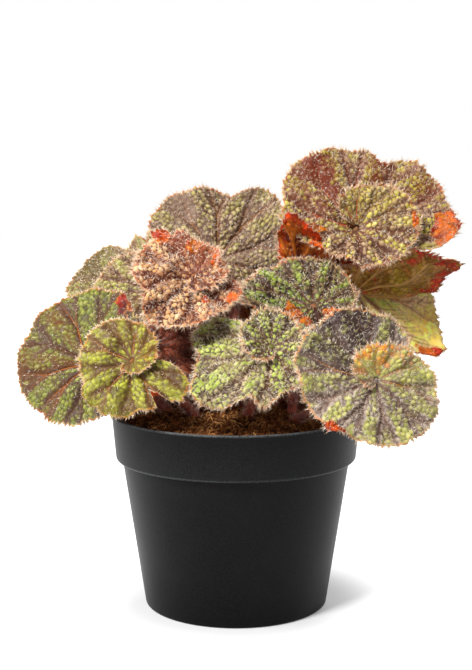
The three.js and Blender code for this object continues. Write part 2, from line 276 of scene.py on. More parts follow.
def cap(pole: int, start: int, sides: int, upward: bool) -> Array:
    """The three-sided faces between a ring of points and its pole.

    Args:
        pole: The pole's number.
        start: Number of the ring's first point.
        sides: Number of points in the ring.
        upward: True where the pole is at the upper end.

    Returns:
        Faces as point numbers, of shape (sides, 3).
    """
    ring = start + np.arange(sides)
    after = start + (np.arange(sides) + 1) % sides
    edge = (ring, after) if upward else (after, ring)
    return np.stack([np.full(sides, pole), *edge], -1)


def turned(profile: Array, sides: int) -> Shape:
    """A profile turned about the vertical axis. Its first and last points lie on the axis.

    A point of the profile at radius r and height z becomes (r cos t, r sin t, z) for every t.

    Args:
        profile: Points as [radius, height], from the bottom outside, round to the inside.
        sides: Number of steps round the axis.

    Returns:
        A closed shape with one point at each pole.
    """
    angle = around(sides)
    radius, height = profile[1:-1, 0], profile[1:-1, 1]
    x = radius[:, None] * np.cos(angle)
    y = radius[:, None] * np.sin(angle)
    z = np.broadcast_to(height[:, None], x.shape)
    body = np.stack([x, y, z], -1).reshape(-1, 3)
    poles = np.array([[0, 0, profile[0, 1]], [0, 0, profile[-1, 1]]])
    count = len(body)
    lower, upper = cap(count, 0, sides, False), cap(count + 1, count - sides, sides, True)
    return Shape(np.concatenate([body, poles]), [grid_faces(len(radius), sides, True), lower, upper])


def rounded(corners: list[tuple[float, float, float]], steps: int = 5) -> Array:
    """A profile whose corners are rounded by arcs.

    At each corner a quadratic curve runs from one side to the other and bends towards the corner.

    Args:
        corners: Radius, height and rounding of each corner.
        steps: Points on each rounding.

    Returns:
        The profile as [radius, height] rows.
    """
    flat = np.array([c[:2] for c in corners], float)
    points = []
    for k, (_, _, reach) in enumerate(corners):
        if reach == 0:
            points.append(flat[k][None])
            continue
        before, after = unit(flat[k - 1] - flat[k]), unit(flat[k + 1] - flat[k])
        t = np.linspace(0.0, 1.0, steps)[:, None]
        a, b = flat[k] + before * reach, flat[k] + after * reach
        points.append((1 - t) ** 2 * a + 2 * t * (1 - t) * flat[k] + t**2 * b)
    return np.concatenate(points)


def tube(line: Array, radius: Array, sides: int) -> tuple[Shape, Array, Array]:
    """A round tube along a line, with closed, slightly pointed ends.

    Each ring is the radius times the spokes that stand square to the line there.

    Args:
        line: Points along the middle, of shape (n, 3).
        radius: One radius for each point.
        sides: Number of points in a ring.

    Returns:
        The shape, its ring points and their outward directions, both of shape (n, sides, 3).
    """
    ahead = unit(np.gradient(line, axis=0))
    out = hoop(ahead, (0.31, 0.87, 0.39), sides)
    rings = line[:, None] + out * radius[:, None, None]
    point = 0.4 * radius[[0, -1], None] * ahead[[0, -1]]
    ends = line[[0, -1]] + point * [[-1.0], [1.0]]
    count = len(line) * sides
    faces = [grid_faces(len(line), sides, True), cap(count, 0, sides, False),
             cap(count + 1, count - sides, sides, True)]
    return Shape(np.concatenate([rings.reshape(-1, 3), ends]), faces), rings, out


# ---------------------------------------------------------------------------- shader maths


class Wire:
    """A socket of a material, on which Python's operators become Math nodes."""

    def __init__(self, tree: "Tree", socket: bpy.types.NodeSocket) -> None:
        """Keeps the socket and the tree that it belongs to.

        Args:
            tree: The material's tree.
            socket: The output socket.
        """
        self.tree = tree
        self.socket = socket

    def _math(self, operation: str, *values: "Wire | float") -> "Wire":
        """A Math node on some values.

        Args:
            operation: The node's operation.
            *values: Wires or numbers, in the node's order.

        Returns:
            The node's result.
        """
        return self.tree.add("ShaderNodeMath", {"operation": operation}, dict(enumerate(values)))

    def __add__(self, other: "Wire | float") -> "Wire":
        """Sum."""
        return self._math("ADD", self, other)

    def __radd__(self, other: float) -> "Wire":
        """Sum with a number in front."""
        return self._math("ADD", other, self)

    def __sub__(self, other: "Wire | float") -> "Wire":
        """Difference."""
        return self._math("SUBTRACT", self, other)

    def __rsub__(self, other: float) -> "Wire":
        """Difference from a number."""
        return self._math("SUBTRACT", other, self)

    def __mul__(self, other: "Wire | float") -> "Wire":
        """Product."""
        return self._math("MULTIPLY", self, other)

    def __rmul__(self, other: float) -> "Wire":
        """Product with a number in front."""
        return self._math("MULTIPLY", other, self)

    def rise(self, low: float, high: float) -> "Wire":
        """A smooth rise from 0 to 1.

        Args:
            low: Value where the rise starts.
            high: Value where it ends. It may be the smaller of the two, which makes a fall.

        Returns:
            The risen value.
        """
        if low > high:
            return 1.0 - self.rise(high, low)
        settings = {"interpolation_type": "SMOOTHSTEP"}
        inputs = {"Value": self, "From Min": low, "From Max": high}
        return self.tree.add("ShaderNodeMapRange", settings, inputs)


class Tree:
    """The node tree of one material or sky, with its shader."""

    def __init__(self, owner: Finish | bpy.types.World, shader: str = "Principled BSDF") -> None:
        """Starts the tree of a material or sky.

        Args:
            owner: The new material or sky.
            shader: Name of its shader node.
        """
        owner.use_nodes = True
        self.owner = owner
        self.nodes = owner.node_tree.nodes
        self.links = owner.node_tree.links
        self.shader = self.nodes[shader]

    @staticmethod
    def material(name: str) -> "Tree":
        """The tree of a new material of that name."""
        return Tree(bpy.data.materials.new(name))

    def add(
        self, kind: str, settings: dict[str, object], inputs: dict[str | int, object], output: str | int = 0
    ) -> Wire:
        """Adds any node.

        Args:
            kind: The node's type.
            settings: Its own properties, which are set first. Stops are those of a ramp.
            inputs: Values or wires for its sockets, by name or number.
            output: The output to hand on.

        Returns:
            That output.
        """
        node = self.nodes.new(kind)
        for key, value in settings.items():
            if key == "stops":
                ramp = node.color_ramp
                while len(ramp.elements) < len(value):
                    ramp.elements.new(0.5)
                for element, (place, colour) in zip(ramp.elements, value):
                    element.position = place
                    element.color = (*colour, 1.0)
            else:
                setattr(node, key, value)
        for key, value in inputs.items():
            self.plug(node.inputs[key], value)
        return Wire(self, node.outputs[output])

    def plug(self, socket: bpy.types.NodeSocket, value: object) -> None:
        """Sets a socket to a number or colour, or links a wire to it.

        Args:
            socket: The input socket.
            value: Number, colour or wire.
        """
        if isinstance(value, Wire):
            self.links.new(value.socket, socket)
        elif isinstance(value, tuple) and len(value) == 3 and socket.type == "RGBA":
            socket.default_value = (*value, 1.0)
        else:
            socket.default_value = value

    def mark(self, name: str) -> Wire:
        """A number that is kept at the piece's points, by its name."""
        return self.add("ShaderNodeAttribute", {"attribute_name": name}, {}, "Fac")

    def mix(self, factor: Wire | float, low: Wire | Colour, high: Wire | Colour) -> Wire:
        """Blends two colours.

        Args:
            factor: 0 for the first, 1 for the second.
            low: First colour.
            high: Second colour.

        Returns:
            The blend.
        """
        return self.add("ShaderNodeMix", {"data_type": "RGBA"}, {0: factor, 6: low, 7: high}, 2)

    def noise(self, scale: float, detail: float = 3.0, roughness: float = 0.55) -> Wire:
        """Noise over the object's own coordinates.

        Args:
            scale: Number of features in a metre.
            detail: Number of finer layers.
            roughness: Strength of the finer layers.

        Returns:
            Noise from 0 to 1.
        """
        place = self.add("ShaderNodeTexCoord", {}, {}, "Object")
        inputs = {"Vector": place, "Scale": scale, "Detail": detail, "Roughness": roughness}
        return self.add("ShaderNodeTexNoise", {}, inputs)

    def bump(self, height: Wire, distance: float, strength: float) -> Wire:
        """A normal that is tilted by a height.

        Args:
            height: The height, where 1 stands for the distance.
            distance: Height in metres.
            strength: Share of the effect.

        Returns:
            The normal.
        """
        inputs = {"Strength": strength, "Distance": distance, "Height": height}
        return self.add("ShaderNodeBump", {}, inputs)

    def finish(self, **inputs: object) -> Finish:
        """Plugs the shader's sockets.

        Args:
            **inputs: Values or wires by socket name, with _ for each space.

        Returns:
            The material.
        """
        for key, value in inputs.items():
            self.plug(self.shader.inputs[key.replace("_", " ")], value)
        return self.owner


# ---------------------------------------------------------------------------- finishes


class BladeMarks:
    """What a blade's material knows of a point: the marks kept there, and noises of three sizes."""

    def __init__(self, tree: Tree) -> None:
        """Reads the marks and makes the noises.

        Args:
            tree: The material's tree.
        """
        self.dome, self.tone = tree.mark("dome"), tree.mark("tone")
        self.main, self.twig = tree.mark("main_gap"), tree.mark("twig_gap")
        self.rim, self.line = tree.mark("rim_gap"), tree.mark("line")
        self.patch, self.cloud, self.grain = tree.noise(48.0, 2.0), tree.noise(90.0), tree.noise(800.0, 4.0)
        self.inside = self.dome + (self.grain - 0.5) * 0.45


@dataclass(frozen=True)
class BladeLook:
    """The colours of a blade, and the coat of hairs on it."""

    bump: Colour = paint(196, 190, 74)  # green puckers
    bump_other: Colour = paint(150, 152, 58)
    dull: Colour = paint(186, 160, 118)  # brown puckers
    pale: Colour = paint(236, 226, 168)  # painted highlight on the tops of puckers
    net: Colour = paint(92, 62, 42)  # between puckers
    net_other: Colour = paint(126, 98, 70)
    crease: Colour = paint(66, 38, 26)  # painted shade in the deepest lines: pucker borders and side veins
    vein: Colour = paint(190, 112, 54)
    band: Colour = paint(106, 62, 42)  # dark along the main veins: the leaf's own dark bands, and painted shade in the pleats' valleys
    # The leaf's own brown and red patches, and partly painted shade on lobes that lie in shadow.
    stain: Colour = paint(150, 70, 34)
    glow: Colour = paint(206, 150, 24)  # bright patches
    rim: Colour = paint(186, 96, 44)
    rim_other: Colour = paint(206, 170, 118)
    under: Colour = paint(180, 66, 2)  # lower side where it is red and lighter: its own red, and painted light through the thin leaf
    under_other: Colour = paint(104, 22, 4)
    under_glow: Colour = paint(206, 110, 10)
    under_vein: Colour = paint(212, 132, 20)
    # painted shade on the lower side, where its puckers meet
    under_dark: Colour = paint(84, 16, 4)
    under_rim: Colour = paint(120, 30, 6)
    hair: Colour = paint(240, 232, 214)
    hair_other: Colour = paint(216, 178, 140)
    hairs: float = 0.4  # for each square millimetre
    hair_length: float = 1.7
    cover: float = 0.5  # share of the blade where the puckers are green
    band_width: float = 2.2  # millimetres of dark along a main vein
    beads: float = 1.0  # how strongly each pucker stands out from the net
    worn: float = 0.6  # how far some puckers go back to the net's colour
    under_edge: float = 14.0  # millimetres from the rim over which the lower side turns red and lighter, partly as painted light through the thin edge
    roughness: float = 0.4  # at its least

    def upper_side(self, tree: Tree, at: BladeMarks) -> Wire:
        """The colour of the upper side.

        It goes from the painted shade of the creases over the net's brown to a brown or green pucker
        top, by how far a point is inside its pucker, and the highest tops get a painted highlight.
        The tops are green in broad patches away from the veins, and some go back to the net's brown.
        Dark bands, partly the leaf's own colour and partly painted shade in the pleats' valleys, and
        thin warm lines follow the main veins, and the side veins get painted shade. Darker patches,
        partly the leaf's own and partly painted shade, and glows tint their patches, and the rim is
        warm.

        Args:
            tree: The material's tree.
            at: The marks and noises at a point.

        Returns:
            The colour.
        """
        net = tree.mix(at.cloud.rise(0.35, 0.65), self.net, self.net_other)
        green = tree.mix(at.tone.rise(0.1, 0.8), self.bump_other, self.bump)
        away = at.main.rise(self.band_width * 0.4, self.band_width * 1.5)
        away = away * (at.twig.rise(0.3, 2.0) * 0.7 + 0.3)
        zone = (away * 0.55 + at.patch * 0.8 + at.tone * 0.3 + (self.cover - 1.15)).rise(0.1, 0.34)
        top = tree.mix(zone, self.dull, green)
        top = tree.mix((at.cloud + at.tone * 0.5).rise(0.68, 0.95) * self.worn, top, self.net_other)
        # Painted highlight on the highest pucker tops.
        top = tree.mix(at.dome.rise(0.6, 1.0) * (at.tone * 0.5 + 0.05), top, self.pale)
        colour = tree.mix(at.inside.rise(0.05, 0.5) * self.beads + (1.0 - self.beads), net, top)
        # Painted shade in the creases between puckers.
        colour = tree.mix(at.inside.rise(0.16, -0.05) * (0.8 * self.beads), colour, self.crease)
        # Dark bands along the main veins: the leaf's own colour, and painted shade in the pleats' valleys.
        band = at.main.rise(self.band_width * 1.5, 0.4) * (at.line * 0.6 + 0.3)
        colour = tree.mix(band * (at.cloud * 0.5 + 0.5), colour, self.band)
        # Painted shade along the side veins.
        colour = tree.mix(at.twig.rise(0.7, 0.15) * 0.5, colour, self.crease)
        # Darker patches: partly the leaf's own, and partly painted shade on lobes in shadow.
        stain = tree.mark("stain") * (at.cloud + 0.35).rise(0.5, 0.95)
        colour = tree.mix(stain * (at.inside.rise(1.1, 0.2) * 0.4 + 0.5), colour, self.stain)
        bright = tree.mix((at.patch + at.tone * 0.3).rise(0.5, 0.75), self.glow, green)
        colour = tree.mix(tree.mark("glow") * (at.inside.rise(0.0, 0.5) * 0.55 + 0.4), colour, bright)
        colour = tree.mix(at.main.rise(0.62, 0.25) * at.line * (at.cloud * 0.6 + 0.6), colour, self.vein)
        edge = tree.mix(tree.noise(260.0, 2.0).rise(0.42, 0.6), self.rim, self.rim_other)
        return tree.mix((at.rim + at.grain * 1.8).rise(2.2, 1.0) * 0.75, colour, edge)

    def lower_side(self, tree: Tree, at: BladeMarks) -> Wire:
        """The colour of the lower side: red and lighter towards the rim and in flecks, partly its own
        colour and partly painted light through the thin leaf, with light veins.

        Args:
            tree: The material's tree.
            at: The marks and noises at a point.

        Returns:
            The colour.
        """
        flicker = (tree.noise(170.0, 4.0) - 0.5) * 3.4
        # Its own red, lighter towards the rim: partly painted light through the thin leaf.
        lit = (at.rim.rise(self.under_edge, 2.0) * 0.8 + flicker + (at.tone - 0.5) * 0.7).rise(0.1, 0.9)
        below = tree.mix(lit, self.under_other, self.under)
        below = tree.mix((at.patch + at.cloud).rise(0.98, 1.14) * 0.55, below, self.under_glow)
        twigs = (at.twig.rise(1.6, 0.2) + flicker * 0.5).rise(0.2, 1.0)
        below = tree.mix(twigs * 0.6, below, self.under_vein)
        # Painted shade on the lower side where the puckers meet.
        below = tree.mix(at.inside.rise(0.35, 0.0) * 0.6, below, self.under_dark)
        below = tree.mix((at.rim + at.grain * 2.0).rise(3.0, 1.2) * 0.6, below, self.under_rim)
        return tree.mix(at.main.rise(0.8, 0.3) * (at.line * 0.6 + 0.3), below, self.under_vein)

    def skin(self, name: str) -> Finish:
        """The blade's material. Where the edge is rolled over, the upper side shows the lower one.

        Args:
            name: The material's name.

        Returns:
            The material.
        """
        tree = Tree.material(name)
        at = BladeMarks(tree)
        below = self.lower_side(tree, at)
        rolled = (tree.mark("rolled") + (tree.noise(200.0, 2.0) - 0.5) * 1.2).rise(0.42, 0.58)
        above = tree.mix(rolled, self.upper_side(tree, at), below)
        above = tree.mix((at.grain + 0.2).rise(0.78, 0.95) * 0.25, above, self.hair)
        height = at.grain * 0.5 + tree.noise(2400.0, 2.0) * 0.3
        return tree.finish(
            Base_Color=tree.mix(tree.mark("upper"), below, above),
            Roughness=at.cloud * 0.2 + self.roughness,
            Specular_IOR_Level=0.22,
            Normal=tree.bump(height, 0.0004, 0.6),
        )

    def fur(self, name: str) -> Finish:
        """The material of the blade's hairs, which go from one colour to the other by their tone.

        Args:
            name: The material's name.

        Returns:
            The material.
        """
        tree = Tree.material(name)
        colour = tree.mix(tree.mark("tone"), self.hair, self.hair_other)
        return tree.finish(Base_Color=colour, Roughness=0.45, Specular_IOR_Level=0.5)


@dataclass(frozen=True)
class StalkSkin:
    """Red-brown skin of stalks and rhizome, streaked along and paler at the hairs."""

    dark: Colour = paint(110, 40, 26)
    light: Colour = paint(182, 86, 60)
    hair: Colour = paint(230, 196, 176)
    hair_other: Colour = paint(190, 112, 92)

    def skin(self) -> Finish:
        """The skin itself."""
        tree = Tree.material("stalk_skin")
        streak = tree.noise(160.0, 4.0)
        speck = tree.noise(1100.0, 3.0)
        colour = tree.mix(streak.rise(0.36, 0.66), self.dark, self.light)
        colour = tree.mix(speck.rise(0.62, 0.75) * 0.5, colour, self.hair_other)
        return tree.finish(
            Base_Color=colour,
            Roughness=streak * 0.2 + 0.4,
            Sheen_Weight=0.2,
            Normal=tree.bump(speck, 0.0004, 0.5),
        )

    def fur(self) -> Finish:
        """The hairs on it."""
        tree = Tree.material("stalk_hairs")
        colour = tree.mix(tree.mark("tone"), self.hair, self.hair_other)
        return tree.finish(Base_Color=colour, Roughness=0.5)


@dataclass(frozen=True)
class PotPlastic:
    """Black satin plastic with a fine grain, a little dust and a painted highlight on its edges."""

    black: Colour = paint(5, 5, 5)
    dusty: Colour = paint(26, 26, 26)
    rubbed: Colour = paint(92, 94, 94)

    def skin(self) -> Finish:
        """The plastic."""
        tree = Tree.material("pot_plastic")
        grain = tree.noise(1500.0, 4.0)
        cloud = tree.noise(28.0, 4.0, 0.6)
        colour = tree.mix(cloud.rise(0.42, 0.78) * 0.5, self.black, self.dusty)
        colour = tree.mix(tree.noise(1400.0, 2.0).rise(0.3, 0.7) * 0.5, colour, self.dusty)
        # Painted highlight along the lip and the collar's lower edge.
        colour = tree.mix(tree.mark("edge") * grain.rise(0.3, 0.6), colour, self.rubbed)
        return tree.finish(
            Base_Color=colour,
            Roughness=cloud * 0.14 + 0.36,
            Specular_IOR_Level=0.085,
            Normal=tree.bump(grain, 0.00025, 0.3),
        )


@dataclass(frozen=True)
class CoirMix:
    """Brown coir and peat: crumbs and fibres from nearly black to straw."""

    damp: Colour = paint(34, 16, 8)
    brown: Colour = paint(146, 86, 40)
    straw: Colour = paint(240, 184, 112)

    def skin(self) -> Finish:
        """The mix. Its tone picks the place between damp, brown and straw."""
        tree = Tree.material("potting_mix")
        grain = tree.noise(800.0, 5.0, 0.7)
        tone = tree.mark("tone") * 0.75 + (grain - 0.5) * 0.9
        stops = [(0.0, self.damp), (0.42, self.brown), (1.0, self.straw)]
        colour = tree.add("ShaderNodeValToRGB", {"stops": stops}, {0: tone})
        return tree.finish(
            Base_Color=colour,
            Roughness=0.95,
            Specular_IOR_Level=0.2,
            Normal=tree.bump(grain, 0.0012, 1.0),
        )


@dataclass(frozen=True)
class StudioPaper:
    """White paper that glows, weakly round the pot as a painted soft shadow and fully further out."""

    white: Colour = (0.5, 0.5, 0.5)
    # glow next to the pot, kept weak to paint a soft shadow there
    glow: Colour = (0.24, 0.24, 0.24)
    far_glow: Colour = (1.0, 1.0, 1.0)
    near: float = 0.045  # metres from the pot's middle where the glow begins to grow out of the painted shadow
    far: float = 0.09

    def skin(self) -> Finish:
        """The paper."""
        tree = Tree.material("studio_paper")
        place = tree.add("ShaderNodeTexCoord", {}, {}, "Object")
        reach = tree.add("ShaderNodeVectorMath", {"operation": "LENGTH"}, {0: place}, "Value")
        # The glow grows from the painted shadow round the pot to full white further out.
        glow = tree.mix(reach.rise(self.near, self.far), self.glow, self.far_glow)
        return tree.finish(
            Base_Color=self.white,
            Roughness=0.9,
            Specular_IOR_Level=0.1,
            Emission_Color=glow,
            Emission_Strength=1.0,
        )


# ---------------------------------------------------------------------------- hairs


@dataclass
class HairCoat:
    """Short stiff hairs, each a three-sided spike."""

    length: float
    width: float = 0.26
    spread: float = 0.5  # how far the hairs' ways differ
    seed: int = 1
    sunk: float = 0.1
    flattest: float = 0.25  # least share of a hair's way that stands off the surface

    def grow(self, roots: Array, ways: Array, lengths: Array, tones: Array) -> Shape:
        """Spikes at some places.

        The base is a small triangle square to the spike's way, sunk a little, and the tip is one
        length along that way.

        Args:
            roots: Places of the bases, of shape (n, 3).
            ways: Unit directions.
            lengths: Lengths.
            tones: Colour marks.

        Returns:
            All spikes as one shape.
        """
        ring = hoop(ways, (0.36, 0.48, 0.8), 3)
        base = roots[:, None] - self.sunk * ways[:, None] + ring * self.width / 2
        tip = roots + ways * lengths[:, None]
        points = np.concatenate([base, tip[:, None]], 1).reshape(-1, 3)
        corner = np.array([[0, 1, 3], [1, 2, 3], [2, 0, 3], [0, 2, 1]])
        faces = (np.arange(len(roots))[:, None, None] * 4 + corner).reshape(-1, 3)
        return Shape(points, [faces], {"tone": np.repeat(tones, 4)})

    def over(self, points: Array, normals: Array, density: float, lean: Array) -> Shape:
        """Spikes scattered over a grid surface, as many on each patch as its area asks for.

        Args:
            points: Grid of places, of shape (i, j, 3).
            normals: Grid of unit normals.
            density: Hairs for each square millimetre.
            lean: Grid of directions in which the hairs lean.

        Returns:
            The spikes.
        """
        rng = np.random.default_rng(self.seed)
        along = np.linalg.norm(np.diff(points, axis=0), axis=-1)
        across = np.linalg.norm(np.diff(points, axis=1), axis=-1)
        area = (along[:, :-1] + along[:, 1:]) / 2 * (across[:-1] + across[1:]) / 2
        count = int(area.sum() * density)
        pick = rng.choice(area.size, count, p=(area / area.sum()).ravel())
        i, j = np.unravel_index(pick, area.shape)
        u, v = rng.random((2, count, 1))

        def blend(grid: Array) -> Array:
            """The grid's values at the picked places, blended between four corners."""
            low = grid[i, j] * (1 - v) + grid[i, j + 1] * v
            high = grid[i + 1, j] * (1 - v) + grid[i + 1, j + 1] * v
            return low * (1 - u) + high * u

        shake = rng.normal(size=(count, 3)) * self.spread
        ways = unit(unit(blend(normals)) + blend(lean) + shake)
        facing = (ways * blend(normals)).sum(-1, keepdims=True)
        ways = unit(ways + blend(normals) * np.maximum(self.flattest - facing, 0.0))
        lengths = self.length * rng.uniform(0.45, 1.2, count)
        return self.grow(blend(points), ways, lengths, rng.random(count) ** 3)

    def along(self, points: Array, ways: Array, spacing: float) -> Shape:
        """A fringe of spikes along a line.

        Args:
            points: The line, of shape (n, 3).
            ways: Unit directions at its points.
            spacing: Distance between spikes.

        Returns:
            The spikes.
        """
        rng = np.random.default_rng(self.seed)
        steps = np.linalg.norm(np.diff(points, axis=0), axis=1)
        place = np.concatenate([[0.0], np.cumsum(steps)])
        count = int(place[-1] / spacing)
        at = np.sort(rng.uniform(0.0, place[-1], count))
        roots = np.stack([np.interp(at, place, points[:, k]) for k in range(3)], -1)
        base = np.stack([np.interp(at, place, ways[:, k]) for k in range(3)], -1)
        ways = unit(unit(base) + rng.normal(size=(count, 3)) * self.spread)
        lengths = self.length * rng.uniform(0.4, 1.25, count)
        return self.grow(roots, ways, lengths, 0.3 + 0.7 * rng.random(count))


# ---------------------------------------------------------------------------- leaves


@dataclass(frozen=True)
class Curl:
    """A stretch of the edge that bends up, or is only longer."""

    alpha: float  # direction of its middle, in degrees from downhill
    width: float  # from its middle to its end
    start: float  # share of the ray where the bend begins
    angle: float  # how far it bends; with 0 the blade is only longer there
    extra: float = 0.0  # how much longer the blade is there

    def fade(self, alpha: Array) -> Array:
        """Its share at some directions: 1 near the middle, and 0 from its width on."""
        return smoothstep(np.abs(alpha - self.alpha) / self.width, 1.0, 0.35)


@dataclass(frozen=True)
class Stain:
    """A soft-edged patch of a blade, this strong in its middle."""

    alpha: float  # direction of its middle, in degrees from downhill
    width: float  # of the bell along the turn
    strength: float
    radius: float = 0.0  # distance from the joint where it is strongest
    depth: float = 1000.0  # distance over which it fades to both sides

    def over(self, alpha: Array, way: Array) -> Array:
        """How strong it is: a bell along the turn times a bell along the ray.

        Args:
            alpha: Directions in degrees.
            way: Distances from the joint.

        Returns:
            Strengths.
        """
        return self.strength * bell(alpha - self.alpha, self.width) * bell(way - self.radius, self.depth)


@dataclass(frozen=True)
class LeafPlan:
    """Where a leaf stands and how its blade is drawn out, as in the solid that it dresses."""

    name: str
    joint: Place  # end of the stalk
    face: tuple[float, float]  # way that the blade looks: degrees round from the front, and up
    start: float  # direction of the first ray, in degrees from downhill
    turn: float  # degrees from the first ray to the last
    hand: int  # 1 if the directions grow along the turn, -1 if they fall
    rays: tuple[float, ...]  # lengths of rays at even steps of the turn
    cleft: float  # direction of the notch in the edge
    lift: float  # how far the first ray stands over the last
    cup: tuple[float, float]  # heights of the edge along and across the downhill line
    wave: float  # height of the edge's waves
    waves: int
    phase: float
    root: tuple[float, float]  # foot of the stalk
    bow: float  # how far behind the blade the stalk comes in straight
    look: BladeLook
    strong: tuple[float, ...] = ()  # directions of the bold main veins
    curls: tuple[Curl, ...] = ()
    # darker patches: partly the leaf's own, and partly painted shade
    stains: tuple[Stain, ...] = ()
    crumple: float = 1.1  # height of the blade's lumps
    pucker: float = 1.3  # height of the puckers
    jagged: float = 1.0  # size of the teeth, as a multiple of the usual
    glows: tuple[Stain, ...] = ()
    rolls: tuple[Stain, ...] = ()  # where the edge is rolled over, so that the lower side shows

    @property
    def step(self) -> float:
        """Distance between grid points: finer where the leaf is seen from the front."""
        return 0.62 if self.joint[1] < 40 else 0.85

    @property
    def coiled(self) -> bool:
        """True if the fan overlaps itself."""
        return self.turn > 360

    def axes(self) -> Array:
        """Downhill, sideways and outward unit vectors, as rows."""
        round_, above = np.radians(self.face)
        down = [np.sin(round_) * np.sin(above), -np.cos(round_) * np.sin(above), -np.cos(above)]
        side = [np.cos(round_), np.sin(round_), 0.0]
        return np.array([down, side, np.cross(down, side)])


@dataclass(frozen=True)
class RayGrid:
    """The points of a blade: a column for each ray, and rows from the joint to the edge."""

    phi: Array  # turns from the fan's inner end, in degrees, of shape (columns, 1)
    alpha: Array  # directions from downhill, in degrees, of shape (columns, 1)
    length: Array  # lengths of the rays without curls and teeth, of shape (columns, 1)
    way: Array  # ways gone along the rays, of shape (columns, rows)
    rim_gap: Array  # ways left to the edge
    flat: Array  # distances from the joint along the blade's plane
    rise: Array  # heights that the curls add


@dataclass(frozen=True)
class VeinNet:
    """The veins and puckers at the points of a blade, as arrays of the grid's shape."""

    main_gap: Array  # distance to the nearest main vein
    twig_gap: Array  # distance to the nearest side vein
    strength: Array  # strength of that main vein
    dome: Array  # 0 between puckers, 1 on top of one
    tone: Array  # random tone of the pucker


KNOT_MARKS = {"main_gap": 2.0, "twig_gap": 9.0, "dome": 0.3, "rim_gap": 9.0, "upper": 1.0, "stain": 0.5}


